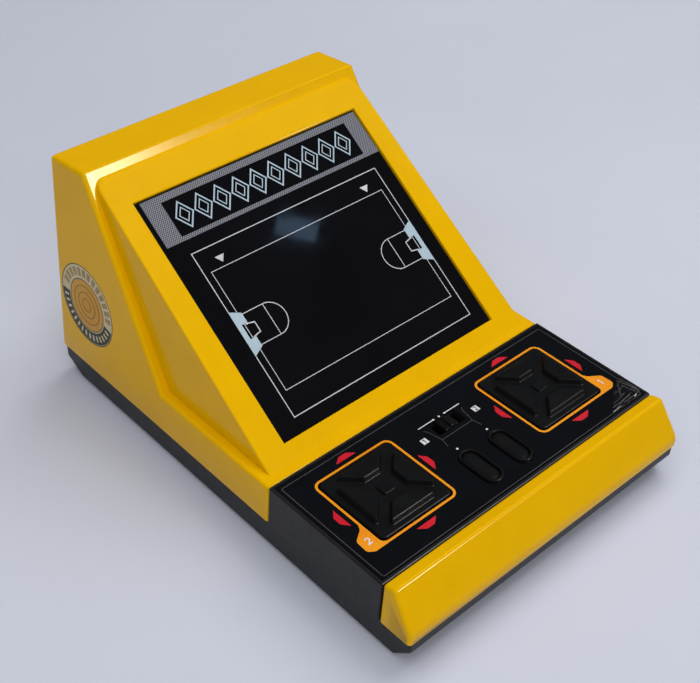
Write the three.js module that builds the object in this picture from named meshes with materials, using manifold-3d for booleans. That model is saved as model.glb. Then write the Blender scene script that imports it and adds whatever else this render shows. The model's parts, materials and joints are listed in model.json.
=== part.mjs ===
// Tabletop electronic game: a wedge-shaped yellow housing with a raised screen
// pod, a black control deck with two rocker pads, two buttons and a slide
// switch, and a black tray below that holds the speaker and four cells.
// Millimetres, +Z up, the player sits at -Y, the origin is on the table under
// the middle of the object.
import * as THREE from 'three';
import { mergeVertices } from 'three/addons/utils/BufferGeometryUtils.js';
import Module from 'manifold-3d';

const wasm = await Module();
wasm.setup();

// ---------------------------------------------------------------- dimensions
const GAP = 0.3; // clearance between neighbouring pieces
const WALL = 2.4; // moulded wall thickness
const PAST = 1; // a cutter runs this far past the face that it opens
const ROOT = 0.5; // a joined feature starts this far inside the piece that carries it

const HALF_WIDTH = 75; // at the seam between tray and housing
const FRONT_Y = -108;
const REAR_Y = 108;
const TAPER = 0.058; // each side leans in by this much per millimetre of height

const FOOT_HEIGHT = 1.5; // feet stand this far below the tray
const SEAM_Z = 14.2; // top of the tray
const DECK_TOP = 32.2;
const DECK_FRONT_Y = -92.3;
const DECK_BACK_Y = -32;

const LEDGE_Z = 31.8; // low ledge beside and in front of the pod
const NOTCH_Y = 34.6; // where the cheeks rise from the ledge
const HOOD_FRONT = [81.9, 110];
const HOOD_REAR = [104.7, 108];
const NOSE_CREST = [-98, 33.9]; // highest line of the front nose
const NOSE_BULGE = [[-107.2, 20.2], [FRONT_Y, 17.6], [-107.7, SEAM_Z + GAP]];

const POD_HALF = 70.4; // before its taper
const POD_TAPER = 0.046;
const POD_FOOT = [-27.6, LEDGE_Z]; // lower edge of the screen face
const POD_TOP = [78.4, 106.7]; // upper edge of the screen face
const POD_REACH = 8; // the pod's top runs this far back, into the hood
const SLOPE = Math.atan2(POD_TOP[1] - POD_FOOT[1], POD_TOP[0] - POD_FOOT[0]);

const LENS_HALF = 56.8;
const LENS_START = 8.2; // distances up the slope from the pod foot
const LENS_END = 115.8;
const LENS_SINK = 1.3; // lens front below the pod face
const LENS_THICK = 2;
const WINDOW_CLEAR = 0.4; // between the lens and the edge of its opening
const MASK_THICK = 0.5;
const PANEL = { half: 46, start: 20.8, end: 83.2, back: -13 };
const HOLDER = { half: 61, start: 4, end: 120, back: -18 };
const MAIN_PCB = { half: 59, start: 6, end: 118, front: -18.4, back: -20 };
const BIG_PARTS = { x: 35, up: 95.5, coil: [8, 11], capacitor: [5, 14] }; // radius, height

const BADGE = { y: 85.5, z: 46.9, radius: 18.2, thick: 0.6 };

const TRAY_HALF = 74;
const TRAY_FLOOR = 2.6;
const TRAY_CHAMFER = { frontY: -99.3, frontZ: 9.2, rearY: 96.6, rearZ: 7 };
const FOOT = { radius: 6, height: 2, sides: 20 };
const FEET = [
  { name: 'foot_front_left', x: -65, y: -84 },
  { name: 'foot_front_right', x: 65, y: -84 },
  { name: 'foot_rear_left', x: -65, y: 84 },
  { name: 'foot_rear_right', x: 65, y: 84 },
];

const PAD = { x: 42.5, y: -60.7, half: 17.6, hole: 18.1, corner: 2.5 };
const PIVOT_Z = 28; // height of both tilt axes
const BUTTON = { y: -75.5, halfX: 3.25, halfY: 8.5, left: -7.3, right: 9.1, top: 34.6 };
const COLLAR = { halfX: 4.3, halfY: 10.1, top: 33.3 };
const SWITCH = {
  x: 0.25, y: -50.4,
  slotX: 7.2, slotY: 3.5,
  knobX: 3.5, knobY: 3.1, knobTop: 32.4, knobLift: 0.4, // its height, its gap above the body
  ridgeHalf: 0.8, ridgeTop: 33.4,
  pegLift: 0.5, // the peg's end above the floor of its well
  stem: 1.2, travel: 3.6,
  bodyX: 9, bodyY: 4.2, bodyTop: 28.8, well: 26,
};
const PCB = { halfX: 70, front: -89, back: -35.5, bottom: 22, top: 23.6 };
const PASSAGE = { half: 10, bottom: 16, top: 27 }; // where the ribbon goes through both walls
const MEMBRANE_BASE = PCB.top + GAP;

const SPEAKER = {
  y: 14, radius: 25, bottom: 4.5,
  cap: 8, dish: 3.5, // dust cap: radius, depth below the rim
  rim: 3, rimHeight: 2, // flat ring that stands on the tray
  basket: 15, magnet: 13, // radii
  basketHeight: 8, height: 14,
};
const CELL = {
  radius: 12.9, length: 49, z: 17.6,
  front: 58, rear: 84.8, // the two rows
  crimp: 0.8, button: 3.2, rise: 1.6,
};
const CONTACT = { thick: 0.6, half: 8, bottom: 8, top: 23 };
const SPRING = { turns: 3, steps: 10, radius: 4, reach: 4.3, wire: 0.4 };
const BAY = { halfX: 56, front: 44.2, rear: 98.6, top: 24 };
const DOOR = { halfX: 53.8, front: 44.4, thick: 2, tongue: 1.2, lip: 2.2, lipTop: 9 };

const SCREWS = [
  { name: 'screw_front_left', x: -64, y: -98 },
  { name: 'screw_front_right', x: 64, y: -98 },
  { name: 'screw_middle_left', x: -66, y: 22 },
  { name: 'screw_middle_right', x: 66, y: 22 },
  { name: 'screw_rear_left', x: -66, y: 97 },
  { name: 'screw_rear_right', x: 66, y: 97 },
];
const SCREW = { head: 3.1, shank: 1.4, headBottom: 6.6, headTop: 8.6, tip: 24 };
const DECK_SCREW = { head: 2.3, shank: 1.1, bottom: 19.6, tip: 29 };
const BORE_SIDES = 10;
const BOSS_RADIUS = 4.2;
const POST_RADIUS = 3.8; // under the housing and the nose, above each boss
const DECK_SCREWS = [
  { name: 'deck_screw_1', x: -67, y: -40 },
  { name: 'deck_screw_2', x: 67, y: -40 },
  { name: 'deck_screw_3', x: -67, y: -84 },
  { name: 'deck_screw_4', x: 67, y: -84 },
];

// ---------------------------------------------------------------- materials
function plastic(color, roughness = 0.4, metalness = 0) {
  return new THREE.MeshStandardMaterial({ color, roughness, metalness });
}
const yellow = () => plastic('#e0a800', 0.3);
const black = () => plastic('#1b1b1d', 0.45);
const rubber = () => plastic('#2c2c2c', 0.8);
const steel = () => plastic('#b8bcc0', 0.3, 1);
const circuitBoard = () => plastic('#3c6b3a', 0.5);

// ---------------------------------------------------------------- shape tools
function solid(geometry) {
  const plain = geometry.clone();
  plain.deleteAttribute('normal');
  plain.deleteAttribute('uv');
  const merged = mergeVertices(plain, 1e-4);
  const index = merged.index.array;
  const triangles = [];
  for (let i = 0; i < index.length; i += 3) {
    const [a, b, c] = [index[i], index[i + 1], index[i + 2]];
    if (a !== b && b !== c && c !== a) {
      triangles.push(a, b, c);
    }
  }
  const mesh = new wasm.Mesh({
    numProp: 3,
    vertProperties: new Float32Array(merged.attributes.position.array),
    triVerts: new Uint32Array(triangles),
  });
  return new wasm.Manifold(mesh);
}

function toGeometry(manifold) {
  const mesh = manifold.getMesh();
  const geometry = new THREE.BufferGeometry();
  geometry.setAttribute('position', new THREE.BufferAttribute(mesh.vertProperties, 3));
  geometry.setIndex(new THREE.BufferAttribute(mesh.triVerts, 1));
  return geometry;
}

function joined(pieces) {
  return pieces.reduce((whole, piece) => whole.add(piece));
}

function cut(body, cutters) {
  return cutters.reduce((rest, cutter) => rest.subtract(cutter), body);
}

function boxGeometry(x0, x1, y0, y1, z0, z1) {
  const geometry = new THREE.BoxGeometry(x1 - x0, y1 - y0, z1 - z0);
  geometry.translate((x0 + x1) / 2, (y0 + y1) / 2, (z0 + z1) / 2);
  return geometry;
}

function box(x0, x1, y0, y1, z0, z1) {
  return solid(boxGeometry(x0, x1, y0, y1, z0, z1));
}

function post(x, y, radius, z0, z1, sides = 16) {
  const geometry = new THREE.CylinderGeometry(radius, radius, z1 - z0, sides);
  geometry.rotateX(Math.PI / 2);
  geometry.translate(x, y, (z0 + z1) / 2);
  return solid(geometry);
}

function lathe(profile, sides = 24) {
  const points = profile.map(([radius, z]) => new THREE.Vector2(radius, z));
  const geometry = new THREE.LatheGeometry(points, sides);
  geometry.rotateX(Math.PI / 2);
  return geometry;
}

// A side profile of [y, z] points, drawn out along X.
function profileGeometry(points, halfWidth) {
  const shape = new THREE.Shape(points.map(([y, z]) => new THREE.Vector2(y, z)));
  const depth = 2 * halfWidth;
  const geometry = new THREE.ExtrudeGeometry(shape, { depth, bevelEnabled: false });
  geometry.translate(0, 0, -halfWidth);
  const toYZ = new THREE.Matrix4().makeBasis(
    new THREE.Vector3(0, 1, 0),
    new THREE.Vector3(0, 0, 1),
    new THREE.Vector3(1, 0, 0),
  );
  return geometry.applyMatrix4(toYZ);
}

// Both sides lean in towards the top, as a moulding's draft does.
function tapered(geometry, taper) {
  const position = geometry.attributes.position;
  for (let i = 0; i < position.count; i += 1) {
    const lean = 1 - (taper * (position.getZ(i) - SEAM_Z)) / HALF_WIDTH;
    position.setX(i, position.getX(i) * lean);
  }
  return geometry;
}

function taperedProfile(points, halfWidth, taper = TAPER) {
  return solid(tapered(profileGeometry(points, halfWidth), taper));
}

// Moves each edge of an outline inwards by its own distance.
function inset(points, distances) {
  const count = points.length;
  const area = points.reduce((sum, [x, y], i) => {
    const [nextX, nextY] = points[(i + 1) % count];
    return sum + x * nextY - nextX * y;
  }, 0);
  const turn = Math.sign(area);
  const lines = points.map(([x, y], i) => {
    const [nextX, nextY] = points[(i + 1) % count];
    const length = Math.hypot(nextX - x, nextY - y);
    const [dx, dy] = [(nextX - x) / length, (nextY - y) / length];
    const move = Array.isArray(distances) ? distances[i] : distances;
    return { x: x - dy * move * turn, y: y + dx * move * turn, dx, dy };
  });
  return lines.map((line, i) => {
    const before = lines[(i + count - 1) % count];
    const cross = before.dx * line.dy - before.dy * line.dx;
    const along = ((line.x - before.x) * line.dy - (line.y - before.y) * line.dx) / cross;
    return [before.x + before.dx * along, before.y + before.dy * along];
  });
}

function roundedRect(halfX, halfY, radius) {
  const shape = new THREE.Shape();
  shape.moveTo(-halfX + radius, -halfY);
  shape.lineTo(halfX - radius, -halfY);
  shape.absarc(halfX - radius, -halfY + radius, radius, -Math.PI / 2, 0);
  shape.lineTo(halfX, halfY - radius);
  shape.absarc(halfX - radius, halfY - radius, radius, 0, Math.PI / 2);
  shape.lineTo(-halfX + radius, halfY);
  shape.absarc(-halfX + radius, halfY - radius, radius, Math.PI / 2, Math.PI);
  shape.lineTo(-halfX, -halfY + radius);
  shape.absarc(-halfX + radius, -halfY + radius, radius, Math.PI, 1.5 * Math.PI);
  return shape;
}

function slab(shape, x, y, z0, z1, curveSegments = 4) {
  const depth = z1 - z0;
  const geometry = new THREE.ExtrudeGeometry(shape, { depth, bevelEnabled: false, curveSegments });
  geometry.translate(x, y, z0);
  return solid(geometry);
}

// A slab whose top edge is rounded over by a quarter-round bevel.
function domedSlab(halfX, halfY, radius, x, y, z0, z1, bevel, segments = 2) {
  const inner = roundedRect(halfX - bevel, halfY - bevel, Math.max(radius - bevel, 0.1));
  const domed = new THREE.ExtrudeGeometry(inner, {
    depth: z1 - z0,
    bevelEnabled: true,
    bevelThickness: bevel,
    bevelSize: bevel,
    bevelSegments: segments,
    curveSegments: 5,
  });
  domed.translate(x, y, z0 - bevel);
  const lower = box(
    x - halfX - PAST, x + halfX + PAST, y - halfY - PAST, y + halfY + PAST, z0 - 3 * bevel, z0,
  );
  return solid(domed).subtract(lower);
}

const object = new THREE.Group();
object.name = 'tabletop_game';

// Everything that follows the screen's slope is placed in this tilted frame:
// X across, Y up the slope from the pod foot, Z out of the pod face.
const pod = new THREE.Group();
pod.position.set(0, POD_FOOT[0], POD_FOOT[1]);
pod.rotation.x = SLOPE;
pod.updateMatrix();
object.add(pod);

function addPiece(name, shape, material, parent = object) {
  const geometry = shape.isBufferGeometry ? shape : toGeometry(shape);
  const mesh = new THREE.Mesh(geometry, material);
  mesh.name = name;
  parent.add(mesh);
  return mesh;
}

function podBox(x0, x1, y0, y1, z0, z1) {
  return solid(boxGeometry(x0, x1, y0, y1, z0, z1).applyMatrix4(pod.matrix));
}

function halfWidthAt(z) {
  return HALF_WIDTH - TAPER * (z - SEAM_Z);
}

// The ribbon's way through the deck's back wall and the housing's front wall.
function passage() {
  const { half, bottom, top } = PASSAGE;
  return box(-half, half, DECK_BACK_Y - WALL - 2 * PAST, DECK_BACK_Y + WALL + 2 * PAST, bottom, top);
}

function pilotBore({ x, y }) {
  return post(x, y, SCREW.shank + GAP, SEAM_Z - PAST, SCREW.tip + PAST, BORE_SIDES);
}

// ---------------------------------------------------------------- housing
const BADGE_TILT = Math.PI / 2 - Math.atan(TAPER);

function badgeDisc(side, radius, depth, outward) {
  const geometry = new THREE.CylinderGeometry(radius, radius, depth, 36);
  geometry.rotateX(Math.PI / 2);
  geometry.translate(0, 0, outward - depth / 2);
  geometry.rotateY(side * BADGE_TILT);
  geometry.translate(side * halfWidthAt(BADGE.z), BADGE.y, BADGE.z);
  return geometry;
}

function makeUpperHousing() {
  const front = DECK_BACK_Y + GAP / 2;
  const bottom = SEAM_Z + GAP;
  const cheeks = [
    [front, bottom],
    [front, LEDGE_Z],
    [NOTCH_Y, LEDGE_Z],
    HOOD_FRONT,
    HOOD_REAR,
    [REAR_Y, bottom],
  ];
  const hidden = 2; // the pod's outline runs on this far inside the ledge
  const podOutline = [
    [POD_FOOT[0] - hidden / Math.tan(SLOPE), POD_FOOT[1] - hidden],
    POD_TOP,
    [POD_TOP[0] + POD_REACH, POD_TOP[1]],
    [POD_TOP[0] + POD_REACH, POD_FOOT[1] - hidden],
  ];
  const cheekBlock = taperedProfile(cheeks, HALF_WIDTH);
  const outer = cheekBlock.add(taperedProfile(podOutline, POD_HALF, POD_TAPER));

  const open = -10; // an edge that moves out instead of in
  const clear = -60; // an edge that moves right out of the way
  const cheekRoom = inset(cheeks, [WALL, WALL, WALL, WALL, WALL, open]);
  const podRoom = inset(podOutline, [WALL, WALL, -POD_REACH / 2, open]);
  const underHood = inset(cheeks, [WALL, clear, clear, WALL, WALL, open]);
  const room = taperedProfile(cheekRoom, HALF_WIDTH - WALL);
  const roofRoom = taperedProfile(podRoom, POD_HALF - WALL, POD_TAPER).intersect(
    taperedProfile(underHood, HALF_WIDTH),
  );

  const window = podBox(
    -LENS_HALF - WINDOW_CLEAR, LENS_HALF + WINDOW_CLEAR,
    LENS_START - WINDOW_CLEAR, LENS_END + WINDOW_CLEAR,
    -WALL - PAST, 3 * PAST,
  );
  const recesses = [-1, 1].map((side) => (
    solid(badgeDisc(side, BADGE.radius + GAP, BADGE.thick + GAP + PAST, PAST))
  ));
  const shell = cut(outer, [room, roofRoom, window, passage(), ...recesses]);

  const rearPostTop = 30;
  const ribHalf = 1.2;
  const ribReach = 3; // half the length of the ribs beside the middle posts
  const posts = SCREWS.slice(2).map(({ x, y }) => {
    const isRear = y > NOTCH_Y;
    const wall = Math.sign(x) * HALF_WIDTH;
    const rib = isRear
      ? box(Math.min(x, wall), Math.max(x, wall), y - ribHalf, y + ribHalf, bottom, rearPostTop)
      : box(x - ribHalf, x + ribHalf, y - ribReach, y + ribReach, bottom, LEDGE_Z);
    const stalk = post(x, y, POST_RADIUS, bottom, isRear ? rearPostTop : LEDGE_Z - 2 * ROOT);
    return stalk.add(rib).intersect(outer);
  });
  return cut(joined([shell, ...posts]), SCREWS.slice(2).map(pilotBore));
}
addPiece('upper_housing', makeUpperHousing(), yellow());

for (const [name, side] of [['side_badge_left', -1], ['side_badge_right', 1]]) {
  addPiece(name, badgeDisc(side, BADGE.radius, BADGE.thick, 0), plastic('#d8cfae', 0.5));
}

// ---------------------------------------------------------------- front nose
function makeFrontNose() {
  const back = DECK_FRONT_Y - GAP / 2;
  const bottom = SEAM_Z + GAP;
  const outline = [[back, bottom], [back, DECK_TOP + GAP], NOSE_CREST, ...NOSE_BULGE];
  const outer = taperedProfile(outline, HALF_WIDTH);
  const open = -6; // the bottom edge moves out instead of in
  const room = taperedProfile(
    inset(outline, [WALL, WALL, WALL, WALL, WALL, open]), HALF_WIDTH - WALL,
  );
  const posts = SCREWS.slice(0, 2).map(({ x, y }) => (
    post(x, y, POST_RADIUS, bottom, DECK_TOP).intersect(outer)
  ));
  return cut(joined([outer.subtract(room), ...posts]), SCREWS.slice(0, 2).map(pilotBore));
}
addPiece('front_nose', makeFrontNose(), yellow());

// ---------------------------------------------------------------- control deck
const OVERLAY = { thick: 0.5, rim: 1.3 };
const overlayBottom = DECK_TOP - OVERLAY.thick;
const deckHalf = halfWidthAt(DECK_TOP);
const deckFront = DECK_FRONT_Y + GAP / 2;
const deckBack = DECK_BACK_Y - GAP / 2;
const ROOF_CUT = 6; // the deck's openings are cut this far down through its roof
const DECK_POST_RADIUS = 3;

function deckOpenings(z0, z1) {
  const pads = [-1, 1].map((side) => (
    slab(roundedRect(PAD.hole, PAD.hole, PAD.corner), side * PAD.x, PAD.y, z0, z1)
  ));
  const slot = box(
    SWITCH.x - SWITCH.slotX, SWITCH.x + SWITCH.slotX,
    SWITCH.y - SWITCH.slotY, SWITCH.y + SWITCH.slotY,
    z0, z1,
  );
  return [...pads, slot];
}

const SLIVER = 0.01; // keeps a round end's flat from vanishing

function pill(halfX, halfY, x, y, z0, z1) {
  return slab(roundedRect(halfX, halfY, halfX - SLIVER), x, y, z0, z1, 6);
}

function makeControlDeck() {
  const bottom = SEAM_Z + GAP;
  const outline = [
    [deckFront, bottom],
    [deckBack, bottom],
    [deckBack, DECK_TOP],
    [deckFront, DECK_TOP],
  ];
  const roof = OVERLAY.thick + WALL;
  const roomOutline = inset(outline, [-PAST, WALL, roof, WALL]);
  const sheetRoom = box(
    -deckHalf + OVERLAY.rim, deckHalf - OVERLAY.rim,
    deckFront + OVERLAY.rim, deckBack - OVERLAY.rim,
    overlayBottom - GAP, DECK_TOP + PAST,
  );
  const shell = cut(taperedProfile(outline, HALF_WIDTH), [
    taperedProfile(roomOutline, HALF_WIDTH - WALL),
    sheetRoom,
    ...deckOpenings(overlayBottom - ROOF_CUT, DECK_TOP + PAST),
    passage(),
  ]);
  const buttons = [BUTTON.left, BUTTON.right];
  const collars = buttons.map((x) => (
    pill(COLLAR.halfX, COLLAR.halfY, x, BUTTON.y, overlayBottom - 2 * ROOT, COLLAR.top)
  ));
  const buttonHoles = buttons.map((x) => pill(
    BUTTON.halfX + GAP, BUTTON.halfY + GAP, x, BUTTON.y,
    overlayBottom - ROOF_CUT, COLLAR.top + PAST,
  ));
  const posts = DECK_SCREWS.map(({ x, y }) => (
    post(x, y, DECK_POST_RADIUS, PCB.top + GAP, overlayBottom - 2 * ROOT)
  ));
  const bores = DECK_SCREWS.map(({ x, y }) => (
    post(x, y, DECK_SCREW.shank + GAP, PCB.top, DECK_SCREW.tip + PAST / 2, BORE_SIDES)
  ));
  return cut(joined([shell, ...collars, ...posts]), [...buttonHoles, ...bores]);
}
addPiece('control_deck', makeControlDeck(), black());

function makeDeckOverlay() {
  const inner = OVERLAY.rim + GAP;
  const sheet = box(
    -deckHalf + inner, deckHalf - inner,
    deckFront + inner, deckBack - inner,
    overlayBottom, DECK_TOP,
  );
  const [z0, z1] = [overlayBottom - PAST, DECK_TOP + PAST];
  const collarHoles = [BUTTON.left, BUTTON.right].map((x) => (
    pill(COLLAR.halfX + GAP, COLLAR.halfY + GAP, x, BUTTON.y, z0, z1)
  ));
  return cut(sheet, [...deckOpenings(z0, z1), ...collarHoles]);
}
addPiece('deck_overlay', makeDeckOverlay(), plastic('#0e0f13', 0.15));

// ---------------------------------------------------------------- rocker pads
const KEY = { inner: 6.8, outer: 14.9, narrow: 2.9, rise: 2.4, draft: 0.5 };
const KNOB = { half: 2.8, rise: 0.7, draft: 0.3 };
const PLATE = { bottom: 30.9, top: 33.1 };
const HUB = { outer: 7.5, inner: 5.6 }; // hollow stem round the pivot
const PIVOT = { radius: 4, below: 1.7, above: 0.6, armHalf: 4.9, armWidth: 0.8 };
const MEMBRANE = { half: 18.3, corner: 2.5, thick: 1.3, hole: 3.6 };
const DOME = { radius: 3.2, height: 4.6, away: 11 };

function frustum(points, z0, z1, draft) {
  const upper = inset(points, draft);
  const count = points.length;
  const ring = [
    ...points.map(([x, y]) => [x, y, z0]),
    ...upper.map(([x, y]) => [x, y, z1]),
  ];
  const triangles = [];
  for (let i = 0; i < count; i += 1) {
    const next = (i + 1) % count;
    triangles.push(i, next, count + next, i, count + next, count + i);
  }
  for (let i = 1; i < count - 1; i += 1) {
    triangles.push(0, i + 1, i, count, count + i, count + i + 1);
  }
  const geometry = new THREE.BufferGeometry();
  geometry.setAttribute('position', new THREE.Float32BufferAttribute(ring.flat(), 3));
  geometry.setIndex(triangles);
  return geometry;
}

function makePad() {
  const plate = slab(roundedRect(PAD.half, PAD.half, PAD.corner), 0, 0, PLATE.bottom, PLATE.top);
  const keyOutline = [
    [-(KEY.inner - KEY.narrow), KEY.inner],
    [KEY.inner - KEY.narrow, KEY.inner],
    [KEY.outer - KEY.narrow, KEY.outer],
    [-(KEY.outer - KEY.narrow), KEY.outer],
  ];
  const keys = [0, 1, 2, 3].map((quarter) => {
    const key = frustum(keyOutline, PLATE.top - ROOT, PLATE.top + KEY.rise, KEY.draft);
    return solid(key.rotateZ((quarter * Math.PI) / 2));
  });
  const { half } = KNOB;
  const centre = [[-half, -half], [half, -half], [half, half], [-half, half]];
  const knob = solid(frustum(centre, PLATE.top - ROOT, PLATE.top + KNOB.rise, KNOB.draft));
  const stem = post(0, 0, HUB.outer, PIVOT_Z - ROOT, PLATE.bottom + ROOT);
  const hub = stem.subtract(post(0, 0, HUB.inner, PIVOT_Z - PAST, PLATE.bottom));
  return joined([plate, ...keys, knob, hub]);
}

function makePivot() {
  const { radius, below, above, armHalf, armWidth } = PIVOT;
  const washer = post(0, 0, radius, PIVOT_Z - below, PIVOT_Z + above);
  const arm = box(-armHalf, armHalf, -armWidth, armWidth, PIVOT_Z - armWidth, PIVOT_Z + above);
  return washer.add(arm);
}

function makePadMembrane() {
  const { half, corner, thick, hole } = MEMBRANE;
  const sheet = slab(roundedRect(half, half, corner), 0, 0, MEMBRANE_BASE, MEMBRANE_BASE + thick);
  const domes = [[0, 1], [1, 0], [0, -1], [-1, 0]].map(([x, y]) => post(
    x * DOME.away, y * DOME.away, DOME.radius,
    MEMBRANE_BASE + thick / 2, MEMBRANE_BASE + DOME.height, 12,
  ));
  const middle = post(0, 0, hole, MEMBRANE_BASE - PAST, MEMBRANE_BASE + thick + PAST, 14);
  return joined([sheet, ...domes]).subtract(middle);
}

for (const [name, side] of [['pad_1', 1], ['pad_2', -1]]) {
  for (const [suffix, make, material] of [
    ['', makePad, black],
    ['_pivot', makePivot, black],
    ['_membrane', makePadMembrane, rubber],
  ]) {
    addPiece(name + suffix, make(), material()).position.set(side * PAD.x, PAD.y, 0);
  }
}

// ---------------------------------------------------------------- action buttons
const CAP = { dome: 1.6, flange: 1, flangeBottom: 27.8, flangeTop: 28.9 };

function makeButton(x) {
  const cap = domedSlab(
    BUTTON.halfX, BUTTON.halfY, BUTTON.halfX - SLIVER,
    x, BUTTON.y, CAP.flangeTop - SLIVER, BUTTON.top - CAP.dome, CAP.dome,
  );
  const flange = pill(
    BUTTON.halfX + CAP.flange, BUTTON.halfY + CAP.flange,
    x, BUTTON.y, CAP.flangeBottom, CAP.flangeTop,
  );
  return cap.add(flange);
}
addPiece('left_action_button', makeButton(BUTTON.left), black());
addPiece('right_action_button', makeButton(BUTTON.right), black());

const BUTTON_MEMBRANE = { halfX: 14, halfY: 11, domeHeight: 2.4 };

function makeButtonMembrane() {
  const middle = (BUTTON.left + BUTTON.right) / 2;
  const { corner, thick } = MEMBRANE;
  const { halfX, halfY, domeHeight } = BUTTON_MEMBRANE;
  const base = MEMBRANE_BASE;
  const sheet = slab(roundedRect(halfX, halfY, corner), middle, BUTTON.y, base, base + thick);
  const domes = [BUTTON.left, BUTTON.right].map((x) => (
    post(x, BUTTON.y, DOME.radius, base + thick / 2, base + domeHeight, 12)
  ));
  return joined([sheet, ...domes]);
}
addPiece('button_membrane', makeButtonMembrane(), rubber());

// ---------------------------------------------------------------- slide switch
function makeSwitchBody() {
  const { x, y, bodyX, bodyY, bodyTop, stem, travel, well } = SWITCH;
  const body = box(x - bodyX, x + bodyX, y - bodyY, y + bodyY, MEMBRANE_BASE, bodyTop);
  const [wellX, wellY] = [stem + travel, stem + GAP];
  return body.subtract(
    box(x - wellX, x + wellX, y - wellY, y + wellY, well, bodyTop + PAST),
  );
}
addPiece('slide_switch_body', makeSwitchBody(), plastic('#8d9195', 0.35, 0.9));

function makeSwitchKnob() {
  const { x, y, knobX, knobY, knobTop, knobLift, ridgeHalf, ridgeTop } = SWITCH;
  const { stem, well, pegLift, bodyTop } = SWITCH;
  const knobBottom = bodyTop + knobLift;
  const pegBottom = well + pegLift;
  const cap = box(x - knobX, x + knobX, y - knobY, y + knobY, knobBottom, knobTop);
  const peg = box(x - stem, x + stem, y - stem, y + stem, pegBottom, knobBottom + 2 * ROOT);
  const ridge = box(x - ridgeHalf, x + ridgeHalf, y - knobY, y + knobY, knobTop - ROOT, ridgeTop);
  return joined([cap, peg, ridge]);
}
addPiece('switch_knob', makeSwitchKnob(), black());

// ---------------------------------------------------------------- electronics
function makeControlPcb() {
  const { halfX, front, back, bottom, top } = PCB;
  const board = box(-halfX, halfX, front, back, bottom, top);
  const [z0, z1] = [bottom - PAST, top + PAST];
  const holes = [
    ...[-1, 1].map((side) => post(side * PAD.x, PAD.y, MEMBRANE.hole, z0, z1, 14)),
    ...DECK_SCREWS.map(({ x, y }) => post(x, y, DECK_SCREW.shank + GAP, z0, z1, BORE_SIDES)),
  ];
  return cut(board, holes);
}
addPiece('control_pcb', makeControlPcb(), circuitBoard());

for (const { name, x, y } of DECK_SCREWS) {
  const { head, shank, bottom, tip } = DECK_SCREW;
  const seat = PCB.bottom - GAP;
  const profile = [[0, bottom], [head, bottom], [head, seat], [shank, seat], [shank, tip], [0, tip]];
  addPiece(name, solid(lathe(profile, 12)), steel()).position.set(x, y, 0);
}

// A sheet or block across the screen: half its width, its start and end up the
// slope, and its back and front below the pod face.
function screenBlock(half, start, end, back, front) {
  return solid(boxGeometry(-half, half, start, end, back, front));
}

const lensBack = -LENS_SINK - LENS_THICK;
const maskFront = lensBack - GAP;
const maskBack = maskFront - MASK_THICK;
const panelFront = maskBack - 2 * GAP;
addPiece(
  'display_lens',
  screenBlock(LENS_HALF, LENS_START, LENS_END, lensBack, -LENS_SINK),
  plastic('#08090b', 0.08),
  pod,
);
addPiece(
  'display_mask',
  screenBlock(LENS_HALF - GAP, LENS_START + GAP, LENS_END - GAP, maskBack, maskFront),
  plastic('#101114', 0.5),
  pod,
);

function makeDisplayHolder() {
  const { half, start, end, back } = HOLDER;
  const frame = screenBlock(half, start, end, back, -WALL - GAP);
  const seat = screenBlock(
    LENS_HALF + GAP, LENS_START - GAP, LENS_END + GAP, maskBack - GAP, 0,
  );
  const around = 2 * GAP;
  const through = screenBlock(
    PANEL.half + around, PANEL.start - around, PANEL.end + around, back - PAST, 0,
  );
  const [lowerBar, upperBar, lighteningHalf] = [5, 7.5, 50]; // frame left round the upper opening
  const lightening = screenBlock(
    lighteningHalf, PANEL.end + lowerBar, end - upperBar, back - PAST, maskBack - WALL,
  );
  return cut(frame, [seat, through, lightening]);
}
addPiece('display_holder', makeDisplayHolder(), black(), pod);
addPiece(
  'display_panel',
  screenBlock(PANEL.half, PANEL.start, PANEL.end, PANEL.back, panelFront),
  plastic('#2a3338', 0.1),
  pod,
);
addPiece(
  'main_pcb',
  screenBlock(MAIN_PCB.half, MAIN_PCB.start, MAIN_PCB.end, MAIN_PCB.back, MAIN_PCB.front),
  circuitBoard(),
  pod,
);
const boardUnderside = MAIN_PCB.back - GAP;
const CHIP = { half: 26, start: 50.5, end: 64.5, thick: 4 };
addPiece(
  'main_chip',
  screenBlock(CHIP.half, CHIP.start, CHIP.end, boardUnderside - CHIP.thick, boardUnderside),
  plastic('#161616', 0.5),
  pod,
);
for (const [name, side, [radius, height], colour] of [
  ['inverter_coil', 1, BIG_PARTS.coil, '#7a4a22'],
  ['smoothing_capacitor', -1, BIG_PARTS.capacitor, '#22406e'],
]) {
  const can = post(side * BIG_PARTS.x, BIG_PARTS.up, radius, boardUnderside - height, boardUnderside);
  addPiece(name, can, plastic(colour, 0.45), pod);
}

// The ribbon runs from the back of the control board, through the slot in both
// walls, and up to the underside of the main board.
function makeRibbonCable() {
  const route = new THREE.CubicBezierCurve(
    new THREE.Vector2(-38, 20.8),
    new THREE.Vector2(-26, 16.4),
    new THREE.Vector2(-16, 17.4),
    new THREE.Vector2(-5, 19.4),
  );
  const steps = 12;
  const half = 0.4; // half its thickness
  const sideClear = 2; // between the ribbon's edges and the slot's ends
  const [upper, lower] = [[], []];
  for (let i = 0; i <= steps; i += 1) {
    const point = route.getPoint(i / steps);
    const tangent = route.getTangent(i / steps);
    upper.push([point.x - tangent.y * half, point.y + tangent.x * half]);
    lower.unshift([point.x + tangent.y * half, point.y - tangent.x * half]);
  }
  return solid(profileGeometry([...upper, ...lower], PASSAGE.half - sideClear));
}
addPiece('ribbon_cable', makeRibbonCable(), plastic('#9a9a98', 0.6));

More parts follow.
